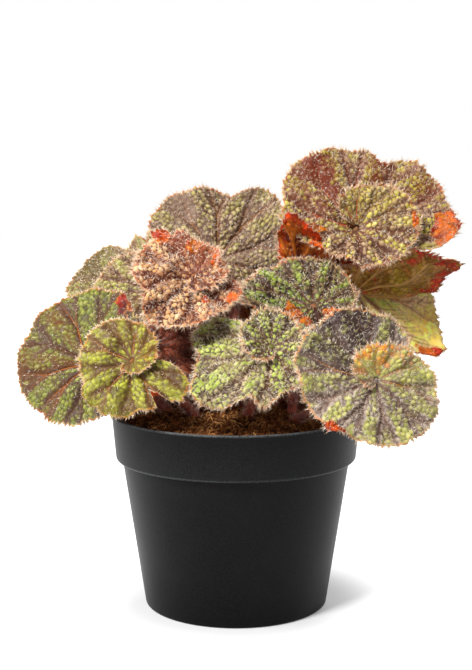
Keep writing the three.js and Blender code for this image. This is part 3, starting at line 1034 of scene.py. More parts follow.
@dataclass
class Blade:
    """One leaf blade, as a closed sheet on a grid of rays with fine puckers, teeth and veins."""

    plan: LeafPlan
    clearance: float = 0.3  # free height over the stalk's end
    thickness: float = 0.9  # of the solid that the blade stands for
    coil_height: float = 1.5  # height of a coil's foot over the joint
    coil_reach: float = 12.0  # distance from the joint where its turns are fully apart
    coil_at_knot: float = 0.35  # share of that at the joint
    eye: float = 1.4  # distance from the joint where the rays of a coil begin
    fan_eye: float = 0.8  # the same for a plain fan
    vein_step: float = 36.0  # degrees between main veins
    weak_veins: tuple[float, float] = (0.05, 0.35)  # strengths of those that aren't bold
    forks: tuple[float, float] = (0.42, 0.6)  # shares of the ray where they fork
    fork_spreads: tuple[float, float] = (6.5, 9.5)  # degrees between the middle and a branch's end
    pleat: float = 2.1  # height of the swell between two main veins
    pleat_start: float = 1.6  # how fast the swell grows along the ray
    lobe: float = 0.012  # depth of the edge's slow lobes, as a share of the ray
    lobe_step: float = 12.0  # degrees for half a lobe
    rounded_end: float = 24.0  # degrees over which both ends of the fan are rounded off
    rounding: float = 0.4  # share of the ray that this takes off
    cleft_depth: float = 0.15  # share of the ray
    cleft_width: float = 9.0  # degrees
    tooth: float = 1.5  # height of a middling tooth
    tooth_heights: tuple[float, float] = (0.35, 1.25)  # multiples of it, from the least to the most
    tooth_climb: float = 0.68  # share of a tooth on which the edge climbs
    tooth_spacing: float = 2.6
    tooth_start: float = 0.8  # share of the ray where the teeth begin to move the points
    skin: float = 0.3  # half the visible thickness
    turn_apart: float = 0.02  # how far a degree of turn sets two places apart in the vein map
    pucker_size: float = 2.35
    bend: float = 1.7  # radius of a curl
    full_veins: float = 18.0  # distance from the joint from which the veins have their full width
    groove: float = 0.9  # width of the groove along a main vein
    lumps: tuple[float, ...] = (12.0, 5.5, 6.5)  # sizes of the large and small lumps and ruffles
    ruffle: float = 1.5  # height of the edge's ruffles
    ruffle_depth: float = 8.0  # distance from the edge over which they fade
    coarse_rays: int = 400  # rays on which the edge is measured
    shortest: float = 16.0  # least length that the number of rows is made for

    def length(self, phi: Array) -> Array:
        """Length of the ray at a turn of phi from the fan's inner end.

        The given lengths at even steps are joined by smoothstep. Both ends of the fan are rounded
        off by a square law, and the cleft is a bell-shaped notch.

        Args:
            phi: Turns in degrees.

        Returns:
            Lengths in millimetres.
        """
        plan = self.plan
        rays = np.array(plan.rays, float)
        place = np.clip(phi / plan.turn, 0.0, 1.0) * (len(rays) - 1)
        before = np.minimum(place.astype(int), len(rays) - 2)
        share = smoothstep(place - before)
        length = rays[before] * (1 - share) + rays[before + 1] * share
        from_end = np.clip(np.minimum(phi, plan.turn - phi) / self.rounded_end, 0.0, 1.0)
        length = length * (1 - self.rounding * (1 - from_end) ** 2)
        alpha = plan.start + plan.hand * phi
        return length * (1 - self.cleft_depth * bell(alpha - plan.cleft, self.cleft_width))

    def height(self, phi: Array, alpha: Array, radius: Array) -> Array:
        """Height of the blade over its own plane.

        It is the sum of the foot, the coil's lift that falls evenly along the turn, a bowl or dome
        that grows with the square of the radius, the edge's waves and the swell between two veins.

        Args:
            phi: Turns in degrees.
            alpha: Directions in degrees from downhill.
            radius: Distances from the joint.

        Returns:
            Heights in millimetres.
        """
        plan = self.plan
        out = radius / max(plan.rays)
        at_knot = self.coil_at_knot if plan.coiled else 0.0
        apart = at_knot + (1 - at_knot) * np.minimum(1.0, radius / self.coil_reach)
        coil = plan.lift * (1 - phi / plan.turn) * apart
        turn = np.radians(alpha)
        across = np.sin(turn) ** 2
        cup = (plan.cup[0] * (1 - across) + plan.cup[1] * across) * out**2
        wave = plan.wave * out**2.5 * np.sin(plan.waves * turn + np.radians(plan.phase))
        veins = np.abs(np.sin(np.pi * alpha / self.vein_step))
        swell = self.pleat * veins * smoothstep(out * self.pleat_start)
        foot = self.coil_height if plan.coiled else self.clearance + self.thickness / 2
        return foot + coil + cup + wave + swell

    def teeth(self, rim: Array, rng: np.random.Generator) -> Array:
        """How far the edge stands out at each ray, as teeth of uneven height.

        The way along the edge is divided into teeth. Within one, the edge climbs slowly and falls
        fast, by a height that is random for each tooth.

        Args:
            rim: Places along the smooth edge, of shape (n, 2).
            rng: Source of the random heights.

        Returns:
            Distances in millimetres, about zero on average.
        """
        steps = np.linalg.norm(np.diff(rim, axis=0), axis=1)
        way = np.concatenate([[0.0], np.cumsum(steps)]) / self.tooth_spacing
        way = way + 0.35 * np.sin(way * 0.7) + 0.25 * np.sin(way * 1.9 + 1.0)
        number = np.floor(way).astype(int)
        share = way - number
        height = rng.uniform(*self.tooth_heights, number.max() + 2)[number]
        climb = self.tooth_climb
        profile = np.where(share < climb, share / climb, (1 - share) / (1 - climb))
        return self.tooth * self.plan.jagged * height * (profile - 0.42)

    def tree(self, rng: np.random.Generator) -> tuple[Array, Array, Array, Array, Array]:
        """The veins as line segments on the map of the blade.

        A main vein runs out along each valley of the pleats and forks about half way. Side veins
        leave it to both sides and run outward to the middle between two main veins.

        Args:
            rng: Source of the random shifts.

        Returns:
            Starts and ends of the main segments, then of the side segments, as map places, and
            the strengths of the main segments.
        """
        plan = self.plan
        first = math.ceil(min(plan.start, plan.start + plan.hand * plan.turn) / self.vein_step)
        last = math.floor(max(plan.start, plan.start + plan.hand * plan.turn) / self.vein_step)
        main, side, strength = [], [], []
        for number in range(first, last + 1):
            near = [abs((number * self.vein_step - alpha + 180) % 360 - 180) for alpha in plan.strong]
            strong = 1.0 if min(near, default=90.0) < self.vein_step / 2 else rng.uniform(*self.weak_veins)
            middle = (number * self.vein_step - plan.start) * plan.hand
            fork = rng.uniform(*self.forks)
            bend = rng.uniform(-1.5, 1.5)
            spine = [(0.0, 0.0), (fork * 0.5, bend), (fork, 0.0)]
            main += [(middle, spine[0], spine[1]), (middle, spine[1], spine[2])]
            strength += [strong] * 2 + [strong * 0.6] * 4
            for hand in (-1.0, 1.0):
                spread = hand * rng.uniform(*self.fork_spreads)
                elbow = (fork + 0.22, spread * 0.62)
                main += [(middle, (fork, 0.0), elbow), (middle, elbow, (1.0, spread))]
                for root in np.arange(0.2, fork, 0.15) + rng.uniform(-0.02, 0.02) + 0.03 * hand:
                    knee = (root + 0.1, hand * rng.uniform(6.0, 8.0))
                    side += [(middle, (root, 0.0), knee), (middle, knee, (root + 0.2, hand * 17.0))]
                for root in (fork + 0.12, fork + 0.26):
                    at = spread * min(1.0, (root - fork) / (1.0 - fork))
                    side.append((middle, (root, at), (root + 0.16, at + hand * 8.0)))
                    side.append((middle, (root + 0.04, at), (root + 0.14, at - hand * 4.0)))
        maps = []
        for group in (main, side):
            phi = np.array([[m + a[1], m + b[1]] for m, a, b in group])
            share = np.array([[a[0], b[0]] for _, a, b in group])
            phi = np.clip(phi, 0.0, plan.turn)
            places = self.map(phi, np.minimum(share, 1.0) * self.length(phi))
            maps += [places[:, 0], places[:, 1]]
        return *maps, np.array(strength)

    def map(self, phi: Array, radius: Array) -> Array:
        """Places on the blade's map, flat but for a slow rise along the turn, so that the turns of
        a coil don't meet.

        Args:
            phi: Turns in degrees.
            radius: Distances from the joint.

        Returns:
            Places, of shape (..., 3).
        """
        alpha = np.radians(self.plan.start + self.plan.hand * phi)
        parts = [radius * np.cos(alpha), radius * np.sin(alpha), self.turn_apart * phi]
        return np.stack(np.broadcast_arrays(*parts), -1)

    def puckers(self, places: Array, rng: np.random.Generator) -> tuple[Array, Array]:
        """Cells of the net between the finest veins.

        Seeds are strewn evenly over the blade's map, and each point belongs to its nearest seed.
        The difference of its distances to the two nearest seeds is 0 on a cell's border.

        Args:
            places: Map places, of shape (n, 3).
            rng: Source of the seeds.

        Returns:
            For each place, that difference in millimetres and its cell's random tone.
        """
        plan, size = self.plan, self.pucker_size
        rings = np.arange(1.2, max(plan.rays) / size + 1.0)
        counts = np.maximum(3, (rings * size * np.radians(plan.turn) / size)).astype(int)
        ring = np.repeat(rings, counts)
        turn = np.concatenate([np.arange(n) + rng.random() for n in counts]) / np.repeat(counts, counts)
        jitter = rng.normal(size=(2, len(ring))) * 0.3
        radius = (ring + jitter[0]) * size
        phi = turn * plan.turn + np.degrees(jitter[1] * size / np.maximum(radius, 2.0))
        inside = radius < self.length(np.clip(phi, 0, plan.turn)) + size
        seeds = self.map(phi[inside], radius[inside])
        tones = rng.random(len(seeds))
        near = np.full((2, len(places)), 1e6)
        owner = np.zeros(len(places), int)
        for block in range(0, len(places), 4000):
            part = places[block : block + 4000]
            gaps = np.sqrt(((part[:, None] - seeds[None]) ** 2).sum(-1))
            two = np.partition(gaps, 1, axis=1)[:, :2]
            near[:, block : block + 4000] = two.T
            owner[block : block + 4000] = gaps.argmin(1)
        return near[1] - near[0], tones[owner]

    def flap(self, fold: Curl, alpha: Array, length: Array) -> Array:
        """How much of each ray a curl takes, falling off by smoothstep to the curl's sides and made
        uneven by two sine waves.

        Args:
            fold: The curl.
            alpha: Directions in degrees.
            length: Lengths of the rays.

        Returns:
            Lengths in millimetres.
        """
        uneven = 1 + 0.12 * np.sin(np.radians(alpha) * 23.0) + 0.15 * np.sin(np.radians(alpha) * 11.0 + 1.0)
        return fold.fade(alpha) * uneven * ((1 - fold.start) * length + fold.extra)

    def curl(self, alpha: Array, way: Array, length: Array, smooth: Array) -> tuple[Array, Array]:
        """Bends parts of the edge up, or only makes them longer.

        Beyond the fold the ray bends on a circle of radius q until it has turned by the curl's
        angle, and then goes straight on: after a way w within the bend it has gone q sin(w/q)
        outward and q (1 - cos(w/q)) up.

        Args:
            alpha: Directions in degrees.
            way: Ways gone along the rays.
            length: Lengths of the rays before any curl.
            smooth: Lengths with the curls' extra, without the teeth.

        Returns:
            Distances along the plane and heights above it, to put in the ray's place.
        """
        radius, height = way, np.zeros_like(way)
        for fold in self.plan.curls:
            begin = smooth - self.flap(fold, alpha, length)
            angle = np.radians(fold.angle)
            past = np.maximum(way - begin, 0.0)
            bent = np.minimum(past, self.bend * angle)
            straight = past - bent
            out = self.bend * np.sin(bent / self.bend) + straight * np.cos(angle)
            up = self.bend * (1 - np.cos(bent / self.bend)) + straight * np.sin(angle)
            height = height + up * (fold.fade(alpha) > 0)
            radius = np.where(past * fold.fade(alpha) > 0, begin + out, radius)
        return radius, height

    def grid(self, rng: np.random.Generator) -> RayGrid:
        """The grid of points, at even steps along the edge and along each ray.

        Args:
            rng: Source of the teeth's random heights.

        Returns:
            The grid.
        """
        plan = self.plan
        coarse = np.linspace(0.0, plan.turn, self.coarse_rays)
        arc = (self.length(coarse) * np.radians(plan.turn) / (self.coarse_rays - 1)).sum()
        columns = int(arc / plan.step * 1.1)
        rows = int(max(np.percentile(plan.rays, 70), self.shortest) / plan.step)
        phi = np.linspace(0.0, plan.turn, columns)[:, None]
        alpha = plan.start + plan.hand * phi
        share = np.linspace(0.0, 1.0, rows)[None, :]
        length = self.length(phi)
        rim = self.map(phi[:, 0], length[:, 0])[:, :2]
        steps = round(plan.turn / self.lobe_step)
        lobes = -self.lobe * length * np.cos(np.pi * phi / plan.turn * steps)
        edge = lobes + self.teeth(rim, rng)[:, None]
        eye = self.eye if plan.coiled else self.fan_eye
        smooth = length + sum((fold.extra * fold.fade(alpha) for fold in plan.curls), 0.0 * phi)
        reach = smooth + edge * smoothstep(share, self.tooth_start, 1.0)
        way = eye + (reach - eye) * share
        flat, rise = self.curl(alpha, way, length, smooth)
        return RayGrid(phi, alpha, length, way, (1.0 - share) * reach, flat, rise)

    def net(self, grid: RayGrid, rng: np.random.Generator) -> VeinNet:
        """The veins and puckers at each point of the grid.

        A pucker rises from its cell's border. It is flat on a main vein and half as high on a side
        vein.

        Args:
            grid: The points.
            rng: Source of the veins' shifts and of the puckers.

        Returns:
            The net.
        """
        places = self.map(grid.phi, grid.way).reshape(-1, 3)
        main_a, main_b, side_a, side_b, strength = self.tree(rng)
        main_gap, owner = nearest_line(places, main_a, main_b)
        twig_gap, _ = nearest_line(places, side_a, side_b)
        border, tone = self.puckers(places, rng)
        dome = smoothstep(border, 0.0, 1.7) * smoothstep(main_gap, 0.1, 1.3)
        dome = dome * (0.5 + 0.5 * smoothstep(twig_gap, 0.1, 1.1))
        values = (main_gap, twig_gap, strength[owner], dome, tone)
        return VeinNet(*(value.reshape(grid.way.shape) for value in values))

    def relief(self, grid: RayGrid, net: VeinNet) -> Array:
        """The fine heights: puckers, grooves along the main veins, lumps and the ruffled edge.

        All of them fade out towards the joint, and the puckers get lower towards the edge.

        Args:
            grid: The points.
            net: Their veins and puckers.

        Returns:
            Heights in millimetres.
        """
        plan, seed = self.plan, seed_of(self.plan.name)
        near = smoothstep(grid.way, 3.0, 12.0)
        calm = 0.35 + 0.65 * smoothstep(grid.rim_gap, 0.5, 4.0)
        spots = self.map(grid.phi, grid.way)
        large, small, short = (value_noise(spots, size, seed + k) for k, size in enumerate(self.lumps))
        grooves = 0.5 * bell(net.main_gap, self.groove)
        puckers = plan.pucker * calm * (net.dome * (0.7 + 0.5 * net.tone) - grooves)
        ruffle = self.ruffle * smoothstep(grid.rim_gap, self.ruffle_depth, 0.0) * short
        return near * (puckers + plan.crumple * (large + 0.5 * small) + ruffle)

    def sides(self, grid: RayGrid, net: VeinNet) -> tuple[Array, Array, Array]:
        """Points of both faces, half the thickness off the middle and thinner at the edge.

        Args:
            grid: The points.
            net: Their veins and puckers.

        Returns:
            Points of the upper and of the lower face, and the unit normals of the upper one.
        """
        turn = np.radians(grid.alpha)
        z = self.height(grid.phi, grid.alpha, grid.flat) + grid.rise + self.relief(grid, net)
        middle = np.stack([grid.flat * np.cos(turn), grid.flat * np.sin(turn), z], -1)
        normal = unit(np.cross(np.gradient(middle, axis=1), np.gradient(middle, axis=0)) * self.plan.hand)
        half = self.skin * (0.4 + 0.6 * smoothstep(grid.rim_gap, 0.0, 2.5))[..., None]
        axes, joint = self.plan.axes(), np.array(self.plan.joint)
        top, low = (joint + (middle + normal * off) @ axes for off in (half, -half))
        return top, low, normal @ axes

    def marks(self, grid: RayGrid, net: VeinNet) -> dict[str, Array]:
        """The numbers that the blade's material reads at each point.

        Distances to veins are taken as larger near the joint, so that the veins get finer there.

        Args:
            grid: The points.
            net: Their veins and puckers.

        Returns:
            Arrays of the grid's shape by their marks' names.
        """
        plan = self.plan
        finer = 0.3 + 0.7 * np.clip(grid.way / self.full_veins, 0.0, 1.0)
        fading = np.clip(1.3 - grid.way / (0.75 * grid.length), 0.0, 1.0)
        marks = {
            "main_gap": net.main_gap / finer,
            "twig_gap": net.twig_gap / finer,
            "dome": net.dome,
            "tone": net.tone,
            "rim_gap": grid.rim_gap,
            "line": fading * net.strength * smoothstep(grid.way, 2.0, 5.0),
        }
        for name, patches in (("stain", plan.stains), ("glow", plan.glows), ("rolled", plan.rolls)):
            marks[name] = sum((patch.over(grid.alpha, grid.way) for patch in patches), 0.0 * grid.way)
        return marks

    def build(self) -> tuple[Piece, Piece]:
        """Makes the blade and its coat of hairs.

        Returns:
            The blade and the hairs.
        """
        plan, name = self.plan, self.plan.name
        rng = np.random.default_rng(seed_of(name))
        grid = self.grid(rng)
        net = self.net(grid, rng)
        top, low, normal = self.sides(grid, net)
        sheet = self.closed(top, low)
        sheet.marks = {mark: np.tile(values.ravel(), 2) for mark, values in self.marks(grid, net).items()}
        sheet.marks["upper"] = np.repeat([1.0, 0.0], grid.way.size)
        knot = self.knot().moved(np.array(plan.joint), plan.axes())
        knot.marks = {mark: np.full(len(knot.points), value) for mark, value in KNOT_MARKS.items()}
        blade = Shape.joined([sheet, knot]).to_object(name + "_blade", plan.look.skin(name))
        hairs = self.hairs(top, low, normal)
        return blade, hairs.to_object(name + "_hairs", plan.look.fur(name + "_hair"), smooth=False)

    def closed(self, top: Array, low: Array) -> Shape:
        """An upper and a lower grid of points joined along all four edges.

        Args:
            top: Points of the upper face, of shape (i, j, 3).
            low: Points of the lower face.

        Returns:
            A closed shape.
        """
        columns, rows = top.shape[:2]
        count = columns * rows
        upper = grid_faces(columns, rows)
        number = np.arange(count).reshape(columns, rows)
        round_ = np.concatenate([number[:, 0][::-1], number[0, 1:], number[1:, -1], number[-1, :-1][::-1]])
        after = np.roll(round_, -1)
        keep = round_ != after
        round_, after = round_[keep], after[keep]
        wall = np.stack([after, round_, round_ + count, after + count], -1)
        faces = [upper, upper[:, ::-1] + count, wall]
        if self.plan.hand < 0:
            faces = [f[:, ::-1] for f in faces]
        return Shape(np.concatenate([top.reshape(-1, 3), low.reshape(-1, 3)]), faces)

    def knot(self) -> Shape:
        """The round knot over the stalk's end, as a turned profile in the blade's own axes."""
        low = self.clearance
        if self.plan.coiled:
            top = self.coil_height + self.plan.lift * self.coil_at_knot + self.thickness
            corners = [(0, low, 0), (2.3, low, 0.5), (1.2, top - 1.2, 1.0), (0, top - 0.9, 0)]
        else:
            top = low + self.thickness
            corners = [(0, low, 0), (1.6, low, 0.3), (1.3, top + 0.3, 0.6), (0, top + 0.6, 0)]
        return turned(rounded(corners), 16)

    def hairs(self, top: Array, low: Array, normal: Array) -> Shape:
        """The hairs over both faces and the fringe along the edge.

        Args:
            top: Points of the upper face.
            low: Points of the lower face.
            normal: Unit normals of the upper face.

        Returns:
            All hairs.
        """
        look, seed = self.plan.look, seed_of(self.plan.name)
        outward = unit(np.gradient(top, axis=1))
        long, dense = look.hair_length, look.hairs
        upper = HairCoat(long, seed=seed).over(top, normal, dense, outward * 0.25)
        under = HairCoat(long * 0.8, seed=seed + 1).over(low, -normal, dense * 0.25, outward * 0.3)
        fringe = HairCoat(long * 1.35, width=0.3, spread=0.45, seed=seed + 2)
        middle = top[:, -1] * 0.5 + low[:, -1] * 0.5
        edge = fringe.along(middle, outward[:, -1], 0.26 / max(dense, 0.3) ** 0.5)
        return Shape.joined([upper, under, edge])


@dataclass
class Stalk:
    """A leaf's hairy stalk: up out of the mix, then in behind the blade."""

    plan: LeafPlan
    radius: float = 2.2
    foot: float = 84.0  # height of its lower end, in the mix
    rise: float = 0.42  # share of its height that it climbs before it turns to the leaf
    lean: float = 0.12  # share of the way out that it leans on the way up
    rings: int = 44
    sides: int = 14
    bare: float = 0.12  # share at the foot that stands in the mix, without hairs
    hair_length: float = 2.8
    hair_density: float = 1.3

    def line(self) -> Array:
        """Points along the stalk: a cubic curve between its foot and its joint.

        Its two handles stand above the foot and straight behind the blade.

        Returns:
            The points, of shape (n, 3).
        """
        plan = self.plan
        joint = np.array(plan.joint)
        root = np.array([*plan.root, self.foot])
        behind = joint - plan.axes()[2] * plan.bow
        above = root + [*(behind - root)[:2] * self.lean, (joint[2] - self.foot) * self.rise]
        t = np.linspace(0.0, 1.0, self.rings)[:, None]
        ends = (1 - t) ** 3 * root + t**3 * joint
        return ends + 3 * t * (1 - t) ** 2 * above + 3 * t**2 * (1 - t) * behind

    def build(self, skin: Finish, fur: Finish) -> tuple[Piece, Piece]:
        """Makes the stalk and its hairs.

        Args:
            skin: Material of the stalk.
            fur: Material of its hairs.

        Returns:
            The stalk and the hairs.
        """
        name = self.plan.name.replace("leaf", "stalk", 1)
        line = self.line()
        share = np.linspace(0.0, 1.0, self.rings)
        radius = self.radius * (1.12 - 0.22 * share + 0.05 * np.sin(share * 37.0))
        shape, rings, out = tube(line, radius, self.sides)
        stalk = shape.to_object(name + "_rod", skin)
        wrap = np.concatenate([rings, rings[:, :1]], 1)
        ways = np.concatenate([out, out[:, :1]], 1)
        above = share > self.bare
        ahead = np.broadcast_to(unit(np.gradient(line, axis=0))[:, None], wrap.shape)
        coat = HairCoat(self.hair_length, width=0.2, seed=seed_of(name))
        hairs = coat.over(wrap[above], ways[above], self.hair_density, ahead[above] * 0.35)
        return stalk, hairs.to_object(name + "_hairs", fur, smooth=False)


# ---------------------------------------------------------------------------- pot, mix, rhizome


@dataclass
class NurseryPot:
    """A tapered plastic pot with a deep collar, drain holes and a foot ring."""

    finish: PotPlastic
    height: float = 94.0
    rim_radius: float = 60.0
    foot_radius: float = 44.8
    collar_foot_radius: float = 58.1
    collar_foot_height: float = 72.0
    collar_step: float = 3.0  # how far the collar stands out over the body
    wall: float = 1.6
    floor: float = 2.0
    foot_lift: float = 2.5  # height of the floor's lower side
    foot_ring: float = 5.0  # width of the ring that the pot stands on
    pad: float = 13.0  # radius of the pad in the middle that also reaches the ground
    sides: int = 180
    drain_holes: int = 6
    drain_radius: float = 4.0
    drain_circle: float = 26.0

    def body_radius(self, height: float) -> float:
        """Outer radius of the body under the collar: it grows evenly with height."""
        share = height / self.collar_foot_height
        return self.foot_radius + (self.collar_foot_radius - self.collar_step - self.foot_radius) * share

    def profile(self) -> Array:
        """The pot's cut: foot pad, foot ring, body, collar and lip, then down the inside."""
        inside_floor = self.foot_lift + self.floor
        under = self.collar_foot_height
        body = self.body_radius(under)
        corners = [
            (0, 0, 0),
            (self.pad, 0, 0.4),
            (self.pad + 1.5, self.foot_lift, 0.6),
            (self.foot_radius - self.foot_ring, self.foot_lift, 0.6),
            (self.foot_radius - self.foot_ring + 1.5, 0, 0.5),
            (self.foot_radius - 0.6, 0, 1.3),
            (body, under - 0.2, 0.5),
            (self.collar_foot_radius, under, 1.3),
            (self.rim_radius - 0.1, self.height - 2.2, 0.3),
            (self.rim_radius, self.height - 1.4, 0.3),
            (self.rim_radius, self.height, 0.5),
            (self.rim_radius - self.wall, self.height, 0.5),
            (self.collar_foot_radius - self.wall, under + 3.2, 1.0),
            (body - self.wall, under + 1.6, 1.0),
            (self.body_radius(inside_floor) - self.wall, inside_floor, 1.2),
            (0, inside_floor, 0),
        ]
        return rounded(corners, 6)

    def plugs(self) -> Piece:
        """The round rods that the drain holes are cut with, on a circle in the floor."""
        angle = around(self.drain_holes)
        radius, low, high = self.drain_radius, -1.0, 9.0
        rod = turned(np.array([[0, low], [radius, low], [radius, high], [0, high]]), 24)
        places = self.drain_circle * np.stack([np.cos(angle), np.sin(angle), 0 * angle], -1)
        rods = Shape.joined([rod.moved(place, np.eye(3)) for place in places])
        return rods.to_object("drain_cutter", self.finish.skin())

    def build(self) -> Piece:
        """Makes the pot and cuts its drain holes.

        Returns:
            The pot.
        """
        shape = turned(self.profile(), self.sides)
        x, y, z = shape.points.T
        radius = np.hypot(x, y)
        # Where the painted highlight lies: along the lip and the collar's lower edge.
        lip = smoothstep(z, self.height - 1.0, self.height - 0.2)
        under = bell(z - self.collar_foot_height - 0.5, 0.5) * (radius > self.collar_foot_radius - 1.0)
        shape.marks["edge"] = np.maximum(lip * (radius > self.rim_radius - 2.0), under)
        pot = shape.to_object("pot_shell", self.finish.skin())
        tool = self.plugs()
        cut = pot.modifiers.new("drain", "BOOLEAN")
        cut.object = tool
        cut.operation = "DIFFERENCE"
        cut.solver = "EXACT"
        finished = bpy.data.meshes.new_from_object(pot.evaluated_get(bpy.context.evaluated_depsgraph_get()))
        pot.modifiers.clear()
        pot.data = finished
        bpy.data.objects.remove(tool)
        return pot


@dataclass
class PottingMix:
    """Coir mix heaped in the pot, with loose fibres and crumbs on it."""

    finish: CoirMix
    edge_radius: float = 57.8
    edge_height: float = 89.5
    crown_height: float = 94.5
    bottom_height: float = 76.0
    bottom_radius: float = 56.0
    rings: int = 70
    sides: int = 220
    lump: float = 1.2  # height of the heap's lumps
    lump_sizes: tuple[float, float] = (6.0, 2.6)
    fibres: int = 2600
    fibre_margin: float = 6.0  # distance from the pot that their middles keep
    fibre_length: tuple[float, float] = (1.5, 6.0)
    fibre_radius: tuple[float, float] = (0.14, 0.42)
    fibre_bend: float = 1.3
    fibre_arch: float = 2.0
    fibre_tilt: float = 0.25
    crumbs: int = 1300
    crumb_margin: float = 3.0
    crumb_size: tuple[float, float] = (0.4, 1.9)
    crumb_flatness: float = 0.7
    seed: int = 41

    def top(self, x: Array, y: Array) -> Array:
        """Height of the heap: a crown that falls with the square of the radius, and lumps."""
        share = 1 - (np.hypot(x, y) / self.edge_radius) ** 2
        crown = self.edge_height + (self.crown_height - self.edge_height) * share
        places = np.stack([x, y, np.zeros_like(x)], -1)
        large, small = (value_noise(places, size, self.seed + k) for k, size in enumerate(self.lump_sizes))
        lumps = large + 0.8 * small
        return crown + lumps * self.lump * smoothstep(share, 0.0, 0.06)

    def heap(self) -> Shape:
        """The body of the mix: rings out from the middle over the top, down the side and under."""
        rings, sides = self.rings, self.sides
        angle = around(sides)
        radius = np.linspace(0.6, self.edge_radius, rings)[:, None]
        x, y = radius * np.cos(angle), radius * np.sin(angle)
        over = np.stack([x, y, self.top(x, y)], -1)
        round_ = self.bottom_radius * np.array([np.cos(angle), np.sin(angle)])
        foot = np.stack([*round_, np.full(sides, self.bottom_height)], -1)
        points = np.concatenate([over.reshape(-1, 3), foot])
        ends = np.array([[0, 0, self.crown_height], [0, 0, self.bottom_height]])
        count = len(points)
        faces = [
            grid_faces(rings + 1, sides, True)[:, ::-1],
            cap(count, 0, sides, True),
            cap(count + 1, count - sides, sides, False),
        ]
        points = np.concatenate([points, ends])
        tone = 0.3 + 0.35 * value_noise(points, 3.0, self.seed + 3)
        return Shape(points, faces, {"tone": tone})

    def strewn(self, rng: np.random.Generator, count: int, margin: float) -> Array:
        """Random places on the heap, even over its area.

        Args:
            rng: Source of the places.
            count: Number of places.
            margin: Distance that they keep from the pot.

        Returns:
            Places, of shape (n, 3).
        """
        radius = (self.edge_radius - margin) * np.sqrt(rng.random(count))
        angle = rng.uniform(0, 2 * np.pi, count)
        x, y = radius * np.cos(angle), radius * np.sin(angle)
        return np.stack([x, y, self.top(x, y)], -1)

    def straws(self, rng: np.random.Generator) -> Shape:
        """Loose fibres: thin three-sided rods that arch over the heap.

        A fibre starts at its place and goes on in a level direction, its height is a low arch, and
        it bends sideways as a parabola.

        Args:
            rng: Source of their places and bends.

        Returns:
            All fibres.
        """
        count, steps = self.fibres, 5
        middle = self.strewn(rng, count, self.fibre_margin)
        length = rng.uniform(*self.fibre_length, count)
        way = rng.uniform(0, 2 * np.pi, count)
        bend = rng.normal(size=count) * self.fibre_bend
        arch = rng.uniform(0.0, self.fibre_arch, count)
        tilt = rng.normal(size=count) * self.fibre_tilt
        t = np.linspace(-0.5, 0.5, steps)
        along = length[:, None] * t
        aside = bend[:, None] * (1 - 4 * t**2)
        x = middle[:, :1] + along * np.cos(way)[:, None] - aside * np.sin(way)[:, None]
        y = middle[:, 1:2] + along * np.sin(way)[:, None] + aside * np.cos(way)[:, None]
        over = np.maximum(np.hypot(x, y) / (self.edge_radius - 1.2), 1.0)
        x, y = x / over, y / over
        z = self.top(x, y) + 0.15 + arch[:, None] * (1 - 4 * t**2) + tilt[:, None] * along
        line = np.stack([x, y, z], -1)
        circle = hoop(unit(np.gradient(line, axis=1)), (0.2, 0.3, 0.93), 3)
        thick = (rng.uniform(*self.fibre_radius, count)[:, None] * (1 - 1.5 * t**2))[..., None, None]
        points = (line[:, :, None] + circle * thick).reshape(-1, 3)
        quads = grid_faces(steps, 3, True)
        caps = np.array([[0, 2, 1], [steps * 3 - 3, steps * 3 - 2, steps * 3 - 1]])
        offset = np.arange(count)[:, None, None] * steps * 3
        faces = [(offset + quads).reshape(-1, 4), (offset + caps).reshape(-1, 3)]
        tone = np.repeat(rng.uniform(0.15, 1.0, count) ** 1.4, steps * 3)
        return Shape(points, faces, {"tone": tone})

    def lumps(self, rng: np.random.Generator) -> Shape:
        """Crumbs of peat and bark: eight-sided lumps that are turned, stretched and dented.

        Args:
            rng: Source of their places and forms.

        Returns:
            All crumbs.
        """
        count = self.crumbs
        corner = np.array([[1, 0, 0], [0, 1, 0], [-1, 0, 0], [0, -1, 0], [0, 0, 1], [0, 0, -1]], float)
        faces = np.concatenate([cap(4, 0, 4, True), cap(5, 0, 4, False)])
        size = rng.uniform(*self.crumb_size, (count, 1, 1)) * rng.uniform(0.5, 1.1, (count, 6, 3))
        turn = rng.uniform(0, 2 * np.pi, count)
        local = corner * size
        x = local[..., 0] * np.cos(turn)[:, None] - local[..., 1] * np.sin(turn)[:, None]
        y = local[..., 0] * np.sin(turn)[:, None] + local[..., 1] * np.cos(turn)[:, None]
        local = np.stack([x, y, local[..., 2] * self.crumb_flatness], -1)
        points = self.strewn(rng, count, self.crumb_margin)[:, None] + local
        tone = np.repeat(rng.uniform(0.05, 0.9, count), 6)
        offset = np.arange(count)[:, None, None] * 6
        return Shape(points.reshape(-1, 3), [(offset + faces).reshape(-1, 3)], {"tone": tone})

    def build(self) -> Piece:
        """Makes the heap with its fibres and crumbs.

        Returns:
            One piece.
        """
        rng = np.random.default_rng(self.seed)
        shape = Shape.joined([self.heap(), self.straws(rng), self.lumps(rng)])
        return shape.to_object("coir_mix", self.finish.skin(), smooth=False)


